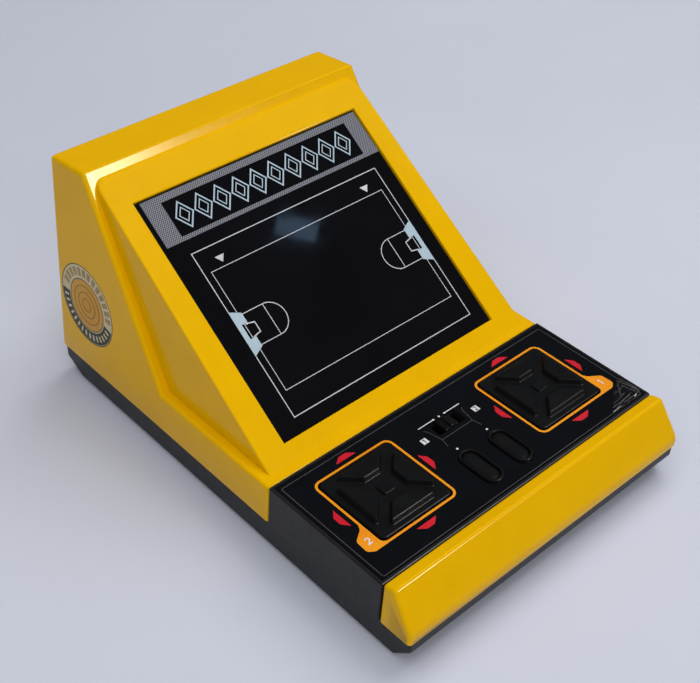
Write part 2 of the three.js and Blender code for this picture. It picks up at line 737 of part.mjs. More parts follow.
function makeSpeaker() {
  const { bottom, radius, cap, dish, rim, rimHeight, basket, magnet, basketHeight, height } = SPEAKER;
  const roll = [1, 0.8]; // the cone's soft edge, inside the rim
  const slope = [2, 0.5]; // from the rim's top to the basket
  const profile = [
    [0, bottom + dish],
    [cap, bottom + dish],
    [radius - rim - roll[0], bottom + roll[1]],
    [radius - rim, bottom],
    [radius, bottom],
    [radius, bottom + rimHeight],
    [radius - slope[0], bottom + rimHeight + slope[1]],
    [basket, bottom + basketHeight],
    [magnet, bottom + basketHeight],
    [magnet, bottom + height],
    [0, bottom + height],
  ];
  return solid(lathe(profile, 28));
}
addPiece('speaker', makeSpeaker(), plastic('#3a3a3c', 0.5, 0.4)).position.set(0, SPEAKER.y, 0);

// ---------------------------------------------------------------- cells
function makeCell() {
  const { radius, length, crimp, button, rise } = CELL;
  const end = length / 2;
  const profile = [
    [0, -end],
    [radius - crimp, -end],
    [radius, -end + crimp],
    [radius, end - rise - crimp],
    [radius - crimp, end - rise],
    [button, end - rise],
    [button, end],
    [0, end],
  ];
  return lathe(profile, 22);
}
[
  ['battery_cell_1', -1, CELL.front],
  ['battery_cell_2', 1, CELL.front],
  ['battery_cell_3', -1, CELL.rear],
  ['battery_cell_4', 1, CELL.rear],
].forEach(([name, side, y], i) => {
  const points = i < 2 ? 1 : -1; // the two rows face opposite ways
  const geometry = makeCell().rotateY((points * Math.PI) / 2);
  addPiece(name, solid(geometry), plastic('#8c8f93', 0.35, 0.6)).position.set(
    side * (CELL.length + GAP) / 2, y, CELL.z,
  );
});

for (const [name, side] of [['battery_contact_left', -1], ['battery_contact_right', 1]]) {
  const { thick, half, bottom, top } = CONTACT;
  const outer = BAY.halfX - GAP;
  const [x0, x1] = side < 0 ? [-outer, thick - outer] : [outer - thick, outer];
  addPiece(name, box(x0, x1, CELL.front - half, CELL.rear + half, bottom, top), steel());
}

function makeSpring(direction) {
  const points = [];
  const { turns, steps, radius, reach, wire } = SPRING;
  for (let i = 0; i <= turns * steps; i += 1) {
    const angle = (i / steps) * 2 * Math.PI;
    const x = direction * (wire + (reach * i) / (turns * steps));
    points.push(new THREE.Vector3(x, radius * Math.cos(angle), radius * Math.sin(angle)));
  }
  const section = new THREE.Shape();
  section.absarc(0, 0, wire, 0, 2 * Math.PI);
  return solid(new THREE.ExtrudeGeometry(section, {
    steps: turns * steps,
    curveSegments: 3,
    extrudePath: new THREE.CatmullRomCurve3(points),
  }));
}
for (const [name, side, y] of [
  ['battery_spring_front', -1, CELL.front],
  ['battery_spring_rear', 1, CELL.rear],
]) {
  const start = side * (CELL.length + 2 * GAP);
  addPiece(name, makeSpring(side), steel()).position.set(start, y, CELL.z);
}

// ---------------------------------------------------------------- bottom tray
const trayBottom = FOOT_HEIGHT;
const TRAY_INSET = { front: 0.8, rear: 0.6 }; // inside the housing's ends
const trayFront = FRONT_Y + TRAY_INSET.front;
const trayRear = REAR_Y - TRAY_INSET.rear;
const floorTop = trayBottom + TRAY_FLOOR;
const TRAY_OUTLINE = [
  [TRAY_CHAMFER.frontY, trayBottom],
  [trayFront, TRAY_CHAMFER.frontZ],
  [trayFront, SEAM_Z],
  [trayRear, SEAM_Z],
  [trayRear, TRAY_CHAMFER.rearZ],
  [TRAY_CHAMFER.rearY, trayBottom],
];

// The door's side profile: a floor plate, the rear chamfer and an upright lip.
// With clear above zero it is the doorway, open below and behind.
function doorOutline(clear) {
  const { front, thick, lip, lipTop } = DOOR;
  const { rearY, rearZ } = TRAY_CHAMFER;
  const past = clear > 0 ? 2 * PAST : 0;
  const [cornerRun, cornerRise] = [1, 1.2]; // inner corners of the sloping stretch
  const top = trayBottom + thick + clear;
  const lipFront = trayRear - lip - clear;
  return [
    [front - clear, trayBottom - past],
    [rearY, trayBottom - past],
    [trayRear + past, rearZ - past],
    [trayRear + past, lipTop + clear],
    [lipFront, lipTop + clear],
    [lipFront, rearZ + cornerRise + clear],
    [rearY - cornerRun, top],
    [front - clear, top],
  ];
}

const TONGUE = { bottom: 2.3, top: 2.9, front: 46, rear: 94 };
const GRIP = { half: 12, first: 84, pitch: 3, width: 1.2, depth: 0.5, count: 4 };
const GRILLE = { slots: 9, pitch: 4.6, half: 1, margin: 6 };
const PIVOT_POST_RADIUS = 3;
const range = (count) => Array.from({ length: count }, (_, i) => i);

function makeBatteryDoor() {
  const plate = solid(profileGeometry(doorOutline(0), DOOR.halfX));
  const tongues = box(
    -DOOR.halfX - DOOR.tongue, DOOR.halfX + DOOR.tongue,
    TONGUE.front, TONGUE.rear, TONGUE.bottom, TONGUE.top,
  );
  const grips = range(GRIP.count).map((i) => {
    const start = GRIP.first + GRIP.pitch * i;
    return box(
      -GRIP.half, GRIP.half, start, start + GRIP.width,
      trayBottom - PAST, trayBottom + GRIP.depth,
    );
  });
  return cut(plate.add(tongues), grips);
}
addPiece('battery_door', makeBatteryDoor(), black());

function makeBottomTray() {
  const outer = solid(profileGeometry(TRAY_OUTLINE, TRAY_HALF));
  const room = solid(profileGeometry(
    inset(TRAY_OUTLINE, [WALL, WALL, -PAST, WALL, WALL, TRAY_FLOOR]), TRAY_HALF - WALL,
  ));
  const shell = outer.subtract(room);

  const bayWall = 2;
  const bayOuter = BAY.halfX + bayWall;
  const bayLow = floorTop - 2 * ROOT;
  const lipGap = 0.2; // the door's lip rises this far past the wall's lower edge
  const mouthRim = 1.1; // left in front of the bay's rear wall
  const bay = cut(
    box(-bayOuter, bayOuter, BAY.front - bayWall, BAY.rear + bayWall, bayLow, BAY.top),
    [
      box(-BAY.halfX, BAY.halfX, BAY.front, BAY.rear, bayLow - PAST, BAY.top + PAST),
      // the rear wall stops above the door's lip
      box(
        -bayOuter - PAST, bayOuter + PAST, BAY.rear - GAP / 3, BAY.rear + bayWall + PAST,
        bayLow - PAST, DOOR.lipTop - lipGap,
      ),
    ],
  );
  const bosses = SCREWS.map(({ x, y }) => (
    post(x, y, BOSS_RADIUS, trayBottom, SEAM_Z).intersect(outer)
  ));
  const pivotTop = PIVOT_Z - PIVOT.below - GAP;
  const pivotPosts = [-1, 1].map((side) => (
    post(side * PAD.x, PAD.y, PIVOT_POST_RADIUS, floorTop - 2 * ROOT, pivotTop)
  ));

  const bores = SCREWS.flatMap(({ x, y }) => [
    post(x, y, SCREW.head + GAP, trayBottom - PAST, SCREW.headTop + GAP, 16),
    post(x, y, SCREW.shank + GAP, trayBottom, SEAM_Z + PAST, BORE_SIDES),
  ]);
  const doorway = solid(profileGeometry(doorOutline(GAP), DOOR.halfX + GAP));
  const grooveHalf = DOOR.halfX + DOOR.tongue + GAP;
  const groove = box(
    -grooveHalf, grooveHalf,
    TONGUE.front - GAP, REAR_Y + 2 * PAST, TONGUE.bottom - GAP, TONGUE.top + GAP,
  );
  const cellMouth = box(
    -CELL.length - PAST, CELL.length + PAST, DOOR.front + 2 * GAP, BAY.rear - mouthRim,
    trayBottom, floorTop + PAST,
  );
  const grille = range(GRILLE.slots).map((i) => {
    const away = GRILLE.pitch * (i - (GRILLE.slots - 1) / 2);
    const half = Math.sqrt(SPEAKER.radius ** 2 - away ** 2) - GRILLE.margin;
    const y = SPEAKER.y + away;
    return box(-half, half, y - GRILLE.half, y + GRILLE.half, trayBottom - PAST, floorTop + PAST);
  });
  const footPockets = FEET.map(({ x, y }) => (
    post(x, y, FOOT.radius + GAP, trayBottom - PAST, FOOT.height + GAP, FOOT.sides)
  ));
  return cut(
    joined([shell, bay, ...bosses, ...pivotPosts]),
    [...bores, doorway, groove, cellMouth, ...grille, ...footPockets],
  );
}
addPiece('bottom_tray', makeBottomTray(), black());

for (const { name, x, y } of SCREWS) {
  const { head, shank, headBottom, headTop, tip } = SCREW;
  const profile = [
    [0, headBottom], [head, headBottom], [head, headTop],
    [shank, headTop], [shank, tip], [0, tip],
  ];
  addPiece(name, solid(lathe(profile, 14)), steel()).position.set(x, y, 0);
}

for (const { name, x, y } of FEET) {
  addPiece(name, post(x, y, FOOT.radius, 0, FOOT.height, FOOT.sides), rubber());
}

export default object;
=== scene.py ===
import json
import math
from functools import lru_cache

import bmesh
import bpy
from mathutils import Matrix, Vector
from mathutils.bvhtree import BVHTree


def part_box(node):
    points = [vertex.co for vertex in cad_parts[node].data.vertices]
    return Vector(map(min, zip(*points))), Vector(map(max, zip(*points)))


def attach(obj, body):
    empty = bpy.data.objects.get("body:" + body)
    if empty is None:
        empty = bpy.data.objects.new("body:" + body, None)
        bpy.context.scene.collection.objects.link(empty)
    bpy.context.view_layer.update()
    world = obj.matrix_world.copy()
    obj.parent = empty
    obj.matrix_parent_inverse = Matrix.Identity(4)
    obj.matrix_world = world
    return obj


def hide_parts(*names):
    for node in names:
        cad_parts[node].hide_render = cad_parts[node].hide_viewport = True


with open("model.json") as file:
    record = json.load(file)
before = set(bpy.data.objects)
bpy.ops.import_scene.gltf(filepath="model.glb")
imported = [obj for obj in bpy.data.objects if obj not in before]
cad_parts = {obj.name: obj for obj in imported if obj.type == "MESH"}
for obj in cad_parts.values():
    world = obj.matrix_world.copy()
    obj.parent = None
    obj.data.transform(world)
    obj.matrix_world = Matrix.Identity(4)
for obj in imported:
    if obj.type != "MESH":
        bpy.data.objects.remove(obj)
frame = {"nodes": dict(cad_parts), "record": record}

# Tabletop electronic game: detailed pieces, materials, light and camera around
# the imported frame. Metres, same frame as the CAD model; sizes named here are in
# millimetres and are turned into metres by MM.
MM = 0.001
NODES = frame["nodes"]
SLOTS = {part["node"]: part["material_slot"] for part in frame["record"]["subparts"]}
X, Y, Z = Vector((1, 0, 0)), Vector((0, 1, 0)), Vector((0, 0, 1))
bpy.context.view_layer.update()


def body_of_node(node):
    bodies = frame["record"]["behaviour"]["bodies"]
    return next(body for body, members in bodies.items() if node in members)


@lru_cache
def box_mm(node):
    low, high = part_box(node)
    return low / MM, high / MM


# ------------------------------------------------------------------ camera
CAMERA_AT = Vector((-272.3, -283.9, 365.3)) * MM
AZIMUTH, ELEVATION, ROLL = -43.28, 39.47, 1.5
LENS_MM = 64.65


def make_camera():
    a, e, roll = (math.radians(v) for v in (AZIMUTH, ELEVATION, ROLL))
    back = Vector((math.sin(a) * math.cos(e), -math.cos(a) * math.cos(e), math.sin(e)))
    level = Z.cross(back).normalized()
    above = back.cross(level)
    right = level * math.cos(roll) + above * math.sin(roll)
    up = above * math.cos(roll) - level * math.sin(roll)
    data = bpy.data.cameras.new("camera")
    data.lens = LENS_MM
    data.sensor_width = 36
    data.clip_start = 0.01
    camera = bpy.data.objects.new("camera", data)
    turn = Matrix((right, up, back)).transposed().to_4x4()
    camera.matrix_world = Matrix.Translation(CAMERA_AT) @ turn
    bpy.context.scene.collection.objects.link(camera)
    bpy.context.scene.camera = camera


# ------------------------------------------------------------------ materials
GRAIN_DEPTH = 0.05 * MM
COAT_ROUGHNESS = 0.05
SCUFFS_PER_PATCH, SCUFF_DETAIL = 5, 6


def new_material(name):
    material = bpy.data.materials.new(name)
    material.use_nodes = True
    tree = material.node_tree
    shader = tree.nodes["Principled BSDF"]
    return material, tree, shader


def link_noise(tree, scale, detail=3.0):
    coords = tree.nodes.new("ShaderNodeTexCoord")
    noise = tree.nodes.new("ShaderNodeTexNoise")
    noise.inputs["Scale"].default_value = scale
    noise.inputs["Detail"].default_value = detail
    tree.links.new(coords.outputs["Object"], noise.inputs["Vector"])
    return noise.outputs["Fac"]


def ramp(tree, factor, low, high, start=0.3, end=0.7):
    node = tree.nodes.new("ShaderNodeMapRange")
    node.inputs["From Min"].default_value = start
    node.inputs["From Max"].default_value = end
    node.inputs["To Min"].default_value = low
    node.inputs["To Max"].default_value = high
    tree.links.new(factor, node.inputs["Value"])
    return node.outputs["Result"]


def mixed(tree, factor, low, high):
    node = tree.nodes.new("ShaderNodeMix")
    node.data_type = "RGBA"
    node.inputs["A"].default_value = (*low, 1)
    node.inputs["B"].default_value = (*high, 1)
    tree.links.new(factor, node.inputs["Factor"])
    return node.outputs["Result"]


def surface(name, low, high, rough=(0.3, 0.4), patch=60, grain=1800, bump=0.03, metal=0.0,
            coat=0.0, specular=0.5, tint=(1, 1, 1)):
    """Moulded or finished surface: slow colour drift, uneven gloss and a fine grain."""
    material, tree, shader = new_material(name)
    drift = link_noise(tree, patch)
    tree.links.new(mixed(tree, ramp(tree, drift, 0, 1), low, high), shader.inputs["Base Color"])
    scuffs = link_noise(tree, patch * SCUFFS_PER_PATCH, SCUFF_DETAIL)
    tree.links.new(ramp(tree, scuffs, *rough), shader.inputs["Roughness"])
    fine = tree.nodes.new("ShaderNodeBump")
    fine.inputs["Strength"].default_value = bump
    fine.inputs["Distance"].default_value = GRAIN_DEPTH
    tree.links.new(link_noise(tree, grain), fine.inputs["Height"])
    tree.links.new(fine.outputs["Normal"], shader.inputs["Normal"])
    shader.inputs["Metallic"].default_value = metal
    shader.inputs["Coat Weight"].default_value = coat
    shader.inputs["Coat Roughness"].default_value = COAT_ROUGHNESS
    shader.inputs["Specular IOR Level"].default_value = specular
    shader.inputs["Specular Tint"].default_value = (*tint, 1)
    return material


def make_halftone_material(slope):
    """Fine grey and black checks, square to the screen."""
    check = 0.55 * MM
    material, tree, shader = new_material("halftone_print")
    coords = tree.nodes.new("ShaderNodeTexCoord")
    mapping = tree.nodes.new("ShaderNodeMapping")
    mapping.vector_type = "TEXTURE"
    mapping.inputs["Rotation"].default_value = (slope, 0, 0)
    mapping.inputs["Scale"].default_value = (check, check, 1)
    checks = tree.nodes.new("ShaderNodeTexChecker")
    checks.inputs["Scale"].default_value = 1
    checks.inputs["Color1"].default_value = (0.3, 0.31, 0.36, 1)
    checks.inputs["Color2"].default_value = (0.015, 0.015, 0.02, 1)
    tree.links.new(coords.outputs["Object"], mapping.inputs["Vector"])
    tree.links.new(mapping.outputs["Vector"], checks.inputs["Vector"])
    tree.links.new(checks.outputs["Color"], shader.inputs["Base Color"])
    gloss = link_noise(tree, scale=200)
    tree.links.new(ramp(tree, gloss, 0.3, 0.4), shader.inputs["Roughness"])
    shader.inputs["Coat Weight"].default_value = 1
    shader.inputs["Coat Roughness"].default_value = 0.04
    return material


def make_film_material():
    """Creased clear film: dark, with lighter streaks painted into its colour as sheen on the creases.
    """
    material, tree, shader = new_material("creased_film")
    coords = tree.nodes.new("ShaderNodeTexCoord")
    stretch = tree.nodes.new("ShaderNodeMapping")
    stretch.inputs["Rotation"].default_value = (0, 0, math.radians(28))
    stretch.inputs["Scale"].default_value = (260, 1500, 200)
    streaks = tree.nodes.new("ShaderNodeTexNoise")
    streaks.inputs["Scale"].default_value = 1
    streaks.inputs["Detail"].default_value = 5
    tree.links.new(coords.outputs["Object"], stretch.inputs["Vector"])
    tree.links.new(stretch.outputs["Vector"], streaks.inputs["Vector"])
    streak = streaks.outputs["Fac"]
    # Painted sheen: the lighter streaks in the film's colour stand in for light caught on its creases.
    painted_sheen = ramp(tree, streak, 0, 1, start=0.58, end=0.8)
    colour = mixed(tree, painted_sheen, (0.004, 0.004, 0.005), (0.07, 0.07, 0.072))
    tree.links.new(colour, shader.inputs["Base Color"])
    tree.links.new(ramp(tree, streak, 0.12, 0.4), shader.inputs["Roughness"])
    return material


# Each finish named in the record: the two colours that it drifts between, the range of its
# roughness, and whatever else differs from a plain moulding.
FINISHES = {
    "yellow_plastic": dict(
        low=(0.80, 0.44, 0.0), high=(0.84, 0.465, 0.0), rough=(0.16, 0.22), bump=0.01,
        specular=0.13, tint=(1, 0.88, 0.6),
    ),
    "black_plastic": dict(
        low=(0.010, 0.010, 0.010), high=(0.014, 0.0138, 0.0138), rough=(0.38, 0.48), bump=0.12,
        specular=0.3,
    ),
    "overlay_print": dict(low=(0.0015, 0.002, 0.003), high=(0.0025, 0.003, 0.005), rough=(0.1, 0.17)),
    "smoked_lens": dict(
        low=(0.0015, 0.0015, 0.002), high=(0.003, 0.003, 0.0045), rough=(0.03, 0.08), patch=25,
        bump=0.0,
    ),
    "screen_print": dict(low=(0.003, 0.003, 0.004), high=(0.006, 0.006, 0.007), rough=(0.35, 0.5)),
    "display_glass": dict(
        low=(0.02, 0.03, 0.03), high=(0.03, 0.04, 0.045), rough=(0.05, 0.12), coat=0.6,
    ),
    "circuit_board": dict(
        low=(0.02, 0.11, 0.03), high=(0.03, 0.16, 0.04), rough=(0.35, 0.5), patch=300,
    ),
    "chip_black": dict(low=(0.012, 0.012, 0.012), high=(0.02, 0.02, 0.02), rough=(0.5, 0.65)),
    "coil_copper": dict(
        low=(0.3, 0.12, 0.04), high=(0.42, 0.18, 0.06), rough=(0.3, 0.45), patch=900,
    ),
    "capacitor_sleeve": dict(low=(0.01, 0.03, 0.12), high=(0.015, 0.04, 0.16), rough=(0.25, 0.35)),
    "ribbon_grey": dict(low=(0.3, 0.3, 0.29), high=(0.38, 0.38, 0.37), rough=(0.45, 0.55)),
    "speaker_metal": dict(
        low=(0.04, 0.04, 0.04), high=(0.07, 0.07, 0.07), rough=(0.3, 0.45), metal=0.6,
    ),
    "switch_metal": dict(
        low=(0.1, 0.1, 0.1), high=(0.16, 0.16, 0.16), rough=(0.35, 0.5), metal=1.0,
    ),
    "rubber": dict(
        low=(0.018, 0.018, 0.018), high=(0.03, 0.03, 0.03), rough=(0.7, 0.85), bump=0.3,
    ),
    "steel": dict(low=(0.5, 0.5, 0.5), high=(0.62, 0.62, 0.63), rough=(0.2, 0.35), metal=1.0),
    "cell_jacket": dict(low=(0.08, 0.1, 0.2), high=(0.1, 0.13, 0.25), rough=(0.25, 0.35), coat=0.3),
    "sticker": dict(
        low=(0.6, 0.5, 0.27), high=(0.68, 0.58, 0.34), rough=(0.35, 0.5), patch=120, specular=0.2,
    ),
}
MATERIALS = {name: surface(name, **values) for name, values in FINISHES.items()}
KEY_PLASTIC = surface(
    "key_plastic", (0.0045, 0.005, 0.0055), (0.007, 0.0075, 0.008), (0.36, 0.46), patch=90,
    bump=0.06, specular=0.14,
)
CREASED_FILM = make_film_material()

# Each ink: the two colours that it drifts between, and the weight of its clear coat.
INK_COLOURS = {
    "ink_white": ((0.66, 0.67, 0.68), (0.76, 0.77, 0.77), 0.0),
    "screen_white": ((0.55, 0.57, 0.6), (0.66, 0.68, 0.7), 1.0),
    "screen_blue": ((0.40, 0.52, 0.60), (0.46, 0.58, 0.66), 1.0),
    # a painted highlight colour, for light caught on the film's creases
    "film_highlight": ((0.07, 0.07, 0.066), (0.17, 0.17, 0.16), 0.0),
    "ink_orange": ((0.84, 0.27, 0.004), (0.9, 0.34, 0.01), 0.0),
    "ink_red": ((0.56, 0.008, 0.022), (0.66, 0.014, 0.032), 0.0),
    "ink_grey": ((0.055, 0.055, 0.058), (0.08, 0.08, 0.084), 0.0),
    "ink_black": ((0.006, 0.006, 0.007), (0.01, 0.01, 0.011), 0.0),
    "ink_olive": ((0.022, 0.024, 0.01), (0.032, 0.034, 0.016), 0.0),
    "ink_tan": ((0.3, 0.2, 0.07), (0.38, 0.26, 0.1), 0.0),
    "ink_brown": ((0.14, 0.07, 0.01), (0.18, 0.09, 0.015), 0.0),
    "ink_amber": ((0.6, 0.29, 0.01), (0.66, 0.33, 0.015), 0.0),
    "ink_cream": ((0.6, 0.52, 0.3), (0.68, 0.6, 0.36), 0.0),
}
INKS = {
    name: surface(name, low, high, coat=coat, bump=0.0, specular=0.2)
    for name, (low, high, coat) in INK_COLOURS.items()
}


# ------------------------------------------------------------------ mesh tools
CREASE = math.radians(38)  # a modelled edge that bends more than this is shaded sharp
MERGE = 0.001 * MM
FLAT = math.radians(0.6)  # CAD faces that meet at less than this are one face
ROUND_FROM = math.radians(24)  # a CAD edge that bends less than this isn't rounded
SHARP_FROM = math.radians(32)  # a CAD edge that bends more is shaded sharp unless it is rounded
PROBE = 0.2 * MM  # how far outside an edge the rays start that look for open space
STEP_OFF = 0.05 * MM
EASED_SHARE = 0.45  # the most of a side that one corner's curve may take
QUARTER_STEPS, ROUND_END_STEPS, KEY_CORNER_STEPS = 6, 14, 4
INK_THICK = 0.05
MITRE_LIMIT = 0.3  # keeps sharp bends of a stroke from growing long points


def link_piece(name, mesh, material, body, slot=None, replaces=None):
    piece = bpy.data.objects.new(name, mesh)
    bpy.context.scene.collection.objects.link(piece)
    mesh.materials.append(material)
    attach(piece, body)
    if replaces:
        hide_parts(replaces)
        slot = slot or SLOTS[replaces]
    return piece


def even_shading(piece):
    """Keeps large faces flat and lets the small faces between them carry the bend."""
    even = piece.modifiers.new("even_shading", "WEIGHTED_NORMAL")
    even.weight = 100
    even.keep_sharp = True
    even.use_face_influence = True


def finished(bm, name, material, node, stands_in=True):
    """Turns modelled skins into a smooth-shaded piece that replaces a CAD node or adds to it."""
    bmesh.ops.recalc_face_normals(bm, faces=bm.faces)
    for face in bm.faces:
        face.smooth = True
    for edge in bm.edges:
        edge.smooth = edge.calc_face_angle(0) < CREASE
    mesh = bpy.data.meshes.new(name)
    bm.to_mesh(mesh)
    bm.free()
    replaced = node if stands_in else None
    piece = link_piece(name, mesh, material, body_of_node(node), SLOTS[node], replaced)
    even_shading(piece)


def loft(bm, rings, closed=False):
    """A skin through rings of points in millimetres, capped unless it runs back to its start."""
    rows = [[bm.verts.new(Vector(point) * MM) for point in ring] for ring in rings]
    count = len(rows[0])
    for k in range(len(rows) if closed else len(rows) - 1):
        lower, upper = rows[k], rows[(k + 1) % len(rows)]
        for i in range(count):
            j = (i + 1) % count
            bm.faces.new((lower[i], lower[j], upper[j], upper[i]))
    if not closed:
        bm.faces.new(rows[0][::-1])
        bm.faces.new(rows[-1])


def rounded_over(grow, top, radius, steps=4):
    """Growth and height pairs of a quarter-round edge that ends flat at the top."""
    pairs = []
    for i in range(steps + 1):
        angle = math.pi / 2 * i / steps
        pairs.append((grow - radius * (1 - math.cos(angle)), top - radius * (1 - math.sin(angle))))
    return pairs


def arc(x, y, radius, start, end, steps):
    return [
        (x + radius * math.cos(math.radians(start + (end - start) * i / steps)),
         y + radius * math.sin(math.radians(start + (end - start) * i / steps)))
        for i in range(steps + 1)
    ]


def rounded_rectangle(x, y, half_x, half_y, radius):
    points = []
    for quarter, (sx, sy) in enumerate(((1, 1), (-1, 1), (-1, -1), (1, -1))):
        centre = (x + sx * (half_x - radius), y + sy * (half_y - radius))
        points += arc(*centre, radius, 90 * quarter, 90 * quarter + 90, QUARTER_STEPS)
    return points


def stadium(x, y, half_x, half_y):
    straight = half_y - half_x
    upper = arc(x, y + straight, half_x, 0, 180, ROUND_END_STEPS)
    return upper + arc(x, y - straight, half_x, 180, 360, ROUND_END_STEPS)


def rounded_polygon(corners, grow, radius):
    """A convex outline moved outwards by grow, its corners rounded."""
    points = []
    count = len(corners)
    for i, corner in enumerate(corners):
        into = (corner - corners[i - 1]).normalized()
        away = (corners[(i + 1) % count] - corner).normalized()
        first, last = Vector((into.y, -into.x)), Vector((away.y, -away.x))
        turn = math.atan2(first.x * last.y - first.y * last.x, first.dot(last))
        centre = corner + (first + last).normalized() * (grow - radius) / math.cos(turn / 2)
        start = math.atan2(first.y, first.x)
        end = start + turn
        points += arc(*centre, radius, math.degrees(start), math.degrees(end), KEY_CORNER_STEPS)
    return points


def eased(start, corner, end, steps):
    """A curve from start to end that heads for the corner first."""
    shares = [k / steps for k in range(steps + 1)]
    return [start.lerp(corner, t).lerp(corner.lerp(end, t), t) for t in shares]


def softened(points, reach, steps=4):
    """Any outline with its corners eased by short curves."""
    curve = []
    for i, point in enumerate(points):
        corner = Vector(point)
        back = Vector(points[i - 1]) - corner
        ahead = Vector(points[(i + 1) % len(points)]) - corner
        start = corner + back.normalized() * min(reach, back.length * EASED_SHARE)
        end = corner + ahead.normalized() * min(reach, ahead.length * EASED_SHARE)
        curve += eased(start, corner, end, steps)
    return [(p.x, p.y) for p in curve]


def mirrored(points, level):
    """Points given above a level, then their mirror images below it, back to the first."""
    above = [(x, level + y) for x, y in points]
    below = [(x, level - y) for x, y in reversed(points)]
    return above + below


def corners_of(x0, x1, y0, y1):
    return [(x0, y0), (x1, y0), (x1, y1), (x0, y1)]


def at_height(points, z):
    return [(x, y, z) for x, y in points]


def escapes(tree, start, direction):
    """True where a ray leaves the piece without meeting it again."""
    return tree.ray_cast(start + direction * STEP_OFF, direction)[0] is None


def refined(node, size_of, segments=4, lower=None, prepare=None):
    """A copy of the CAD solid with rounded edges; size_of gives each edge's radius in mm."""
    bm = bmesh.new()
    bm.from_mesh(NODES[node].data)
    bmesh.ops.remove_doubles(bm, verts=bm.verts, dist=MERGE)
    if lower:
        above, seat = lower
        for vert in bm.verts:
            if vert.co.z > above * MM:
                vert.co.z = seat * MM
    bmesh.ops.dissolve_limit(bm, angle_limit=FLAT, verts=bm.verts, edges=bm.edges)
    bmesh.ops.recalc_face_normals(bm, faces=bm.faces)
    if prepare:
        prepare(bm)
    tree = BVHTree.FromBMesh(bm)
    weights = bm.edges.layers.float.new("bevel_weight_edge")
    sizes = {}
    for edge in bm.edges:
        bend = edge.calc_face_angle(0)
        edge.smooth = bend < SHARP_FROM
        if bend < ROUND_FROM:
            continue
        middle = (edge.verts[0].co + edge.verts[1].co) / 2
        normals = [face.normal for face in edge.link_faces]
        outward = (normals[0] + normals[1]).normalized()
        start = middle + outward * PROBE
        if not escapes(tree, start, outward):
            continue
        outside = all(escapes(tree, start, n) for n in normals)
        size = size_of(edge, middle / MM, normals, outside)
        if size:
            sizes[edge] = size
            edge.smooth = True
    widest = max(sizes.values())
    for edge, size in sizes.items():
        edge[weights] = size / widest
    for face in bm.faces:
        face.smooth = True
    mesh = bpy.data.meshes.new(node + "_detail")
    bm.to_mesh(mesh)
    bm.free()
    piece = link_piece(
        node + "_detail", mesh, MATERIALS[SLOTS[node]], body_of_node(node), replaces=node,
    )
    bevel = piece.modifiers.new("rounded_edges", "BEVEL")
    bevel.limit_method = "WEIGHT"
    bevel.width = widest * MM
    bevel.segments = segments
    bevel.use_clamp_overlap = False
    bevel.face_strength_mode = "FSTR_ALL"
    even_shading(piece)
    return piece


class Print:
    """Flat printed shapes on a plane, as a thin closed layer of ink."""

    def __init__(self, name, origin, across, along, lift, thick=INK_THICK):
        self.name = name
        self.bm = bmesh.new()
        self.origin, self.across, self.along = origin, across, along
        self.normal = across.cross(along)
        self.low, self.high = lift * MM, (lift + thick) * MM

    def place(self, x, y, height):
        return self.origin + self.across * x * MM + self.along * y * MM + self.normal * height

    def fill(self, points):
        bottom = [self.bm.verts.new(self.place(x, y, self.low)) for x, y in points]
        top = [self.bm.verts.new(self.place(x, y, self.high)) for x, y in points]
        self.bm.faces.new(bottom[::-1])
        self.bm.faces.new(top)
        for i in range(len(points)):
            j = (i + 1) % len(points)
            self.bm.faces.new((bottom[i], bottom[j], top[j], top[i]))

    def rectangle(self, x0, x1, y0, y1):
        self.fill(corners_of(x0, x1, y0, y1))

    def stroke(self, points, width, closed=False):
        points = [Vector(p) for p in points]
        count = len(points)
        left, right = [], []
        for i, point in enumerate(points):
            before = points[i - 1] if closed or i > 0 else None
            after = points[(i + 1) % count] if closed or i < count - 1 else None
            into = (point - before).normalized() if before is not None else None
            away = (after - point).normalized() if after is not None else None
            into, away = into or away, away or into
            side = Vector((-(into + away).y, (into + away).x)).normalized()
            reach = width / 2 / max(side.dot(Vector((-into.y, into.x))), MITRE_LIMIT)
            left.append(point + side * reach)
            right.append(point - side * reach)
        corners = ((left, self.low), (right, self.low), (right, self.high), (left, self.high))
        rows = [[self.bm.verts.new(self.place(p.x, p.y, h)) for p in side] for side, h in corners]
        for i in range(count if closed else count - 1):
            j = (i + 1) % count
            for k in range(4):
                a, b = rows[k], rows[(k + 1) % 4]
                self.bm.faces.new((a[i], a[j], b[j], b[i]))
        if not closed:
            self.bm.faces.new([row[0] for row in rows])
            self.bm.faces.new([row[-1] for row in rows][::-1])

    def disc(self, x, y, radius, steps=24):
        self.fill(arc(x, y, radius, 0, 360 - 360 / steps, steps - 1))

    def ring(self, radius, width, steps=72):
        self.stroke(arc(0, 0, radius, 0, 360 - 360 / steps, steps - 1), width, True)

    def finish(self, material, slot, replaces=None):
        bmesh.ops.recalc_face_normals(self.bm, faces=self.bm.faces)
        mesh = bpy.data.meshes.new(self.name)
        self.bm.to_mesh(mesh)
        self.bm.free()
        link_piece(self.name, mesh, material, "root", slot, replaces)


# ------------------------------------------------------------------ screen frame
LOOKS_UP = 0.3


def screen_frame():
    """Up-slope and outward directions of the lens, its bottom and front levels, its length."""
    mesh = NODES["display_lens"].data
    face = max((f for f in mesh.polygons if f.normal.z > LOOKS_UP), key=lambda f: f.area)
    normal = Vector((0, face.normal.y, face.normal.z)).normalized()
    up_slope = Vector((0, normal.z, -normal.y))
    along = [v.co.dot(up_slope) for v in mesh.vertices]
    return up_slope, normal, min(along), face.center.dot(normal), (max(along) - min(along)) / MM


UP_SLOPE, SCREEN_NORMAL, LENS_BOTTOM, LENS_FRONT, LENS_LENGTH = screen_frame()


# ------------------------------------------------------------------ shells
SIDEWAYS, ALIGNED, ON_SCREEN = 0.9, 0.98, 0.998  # least cosines between a normal and a direction


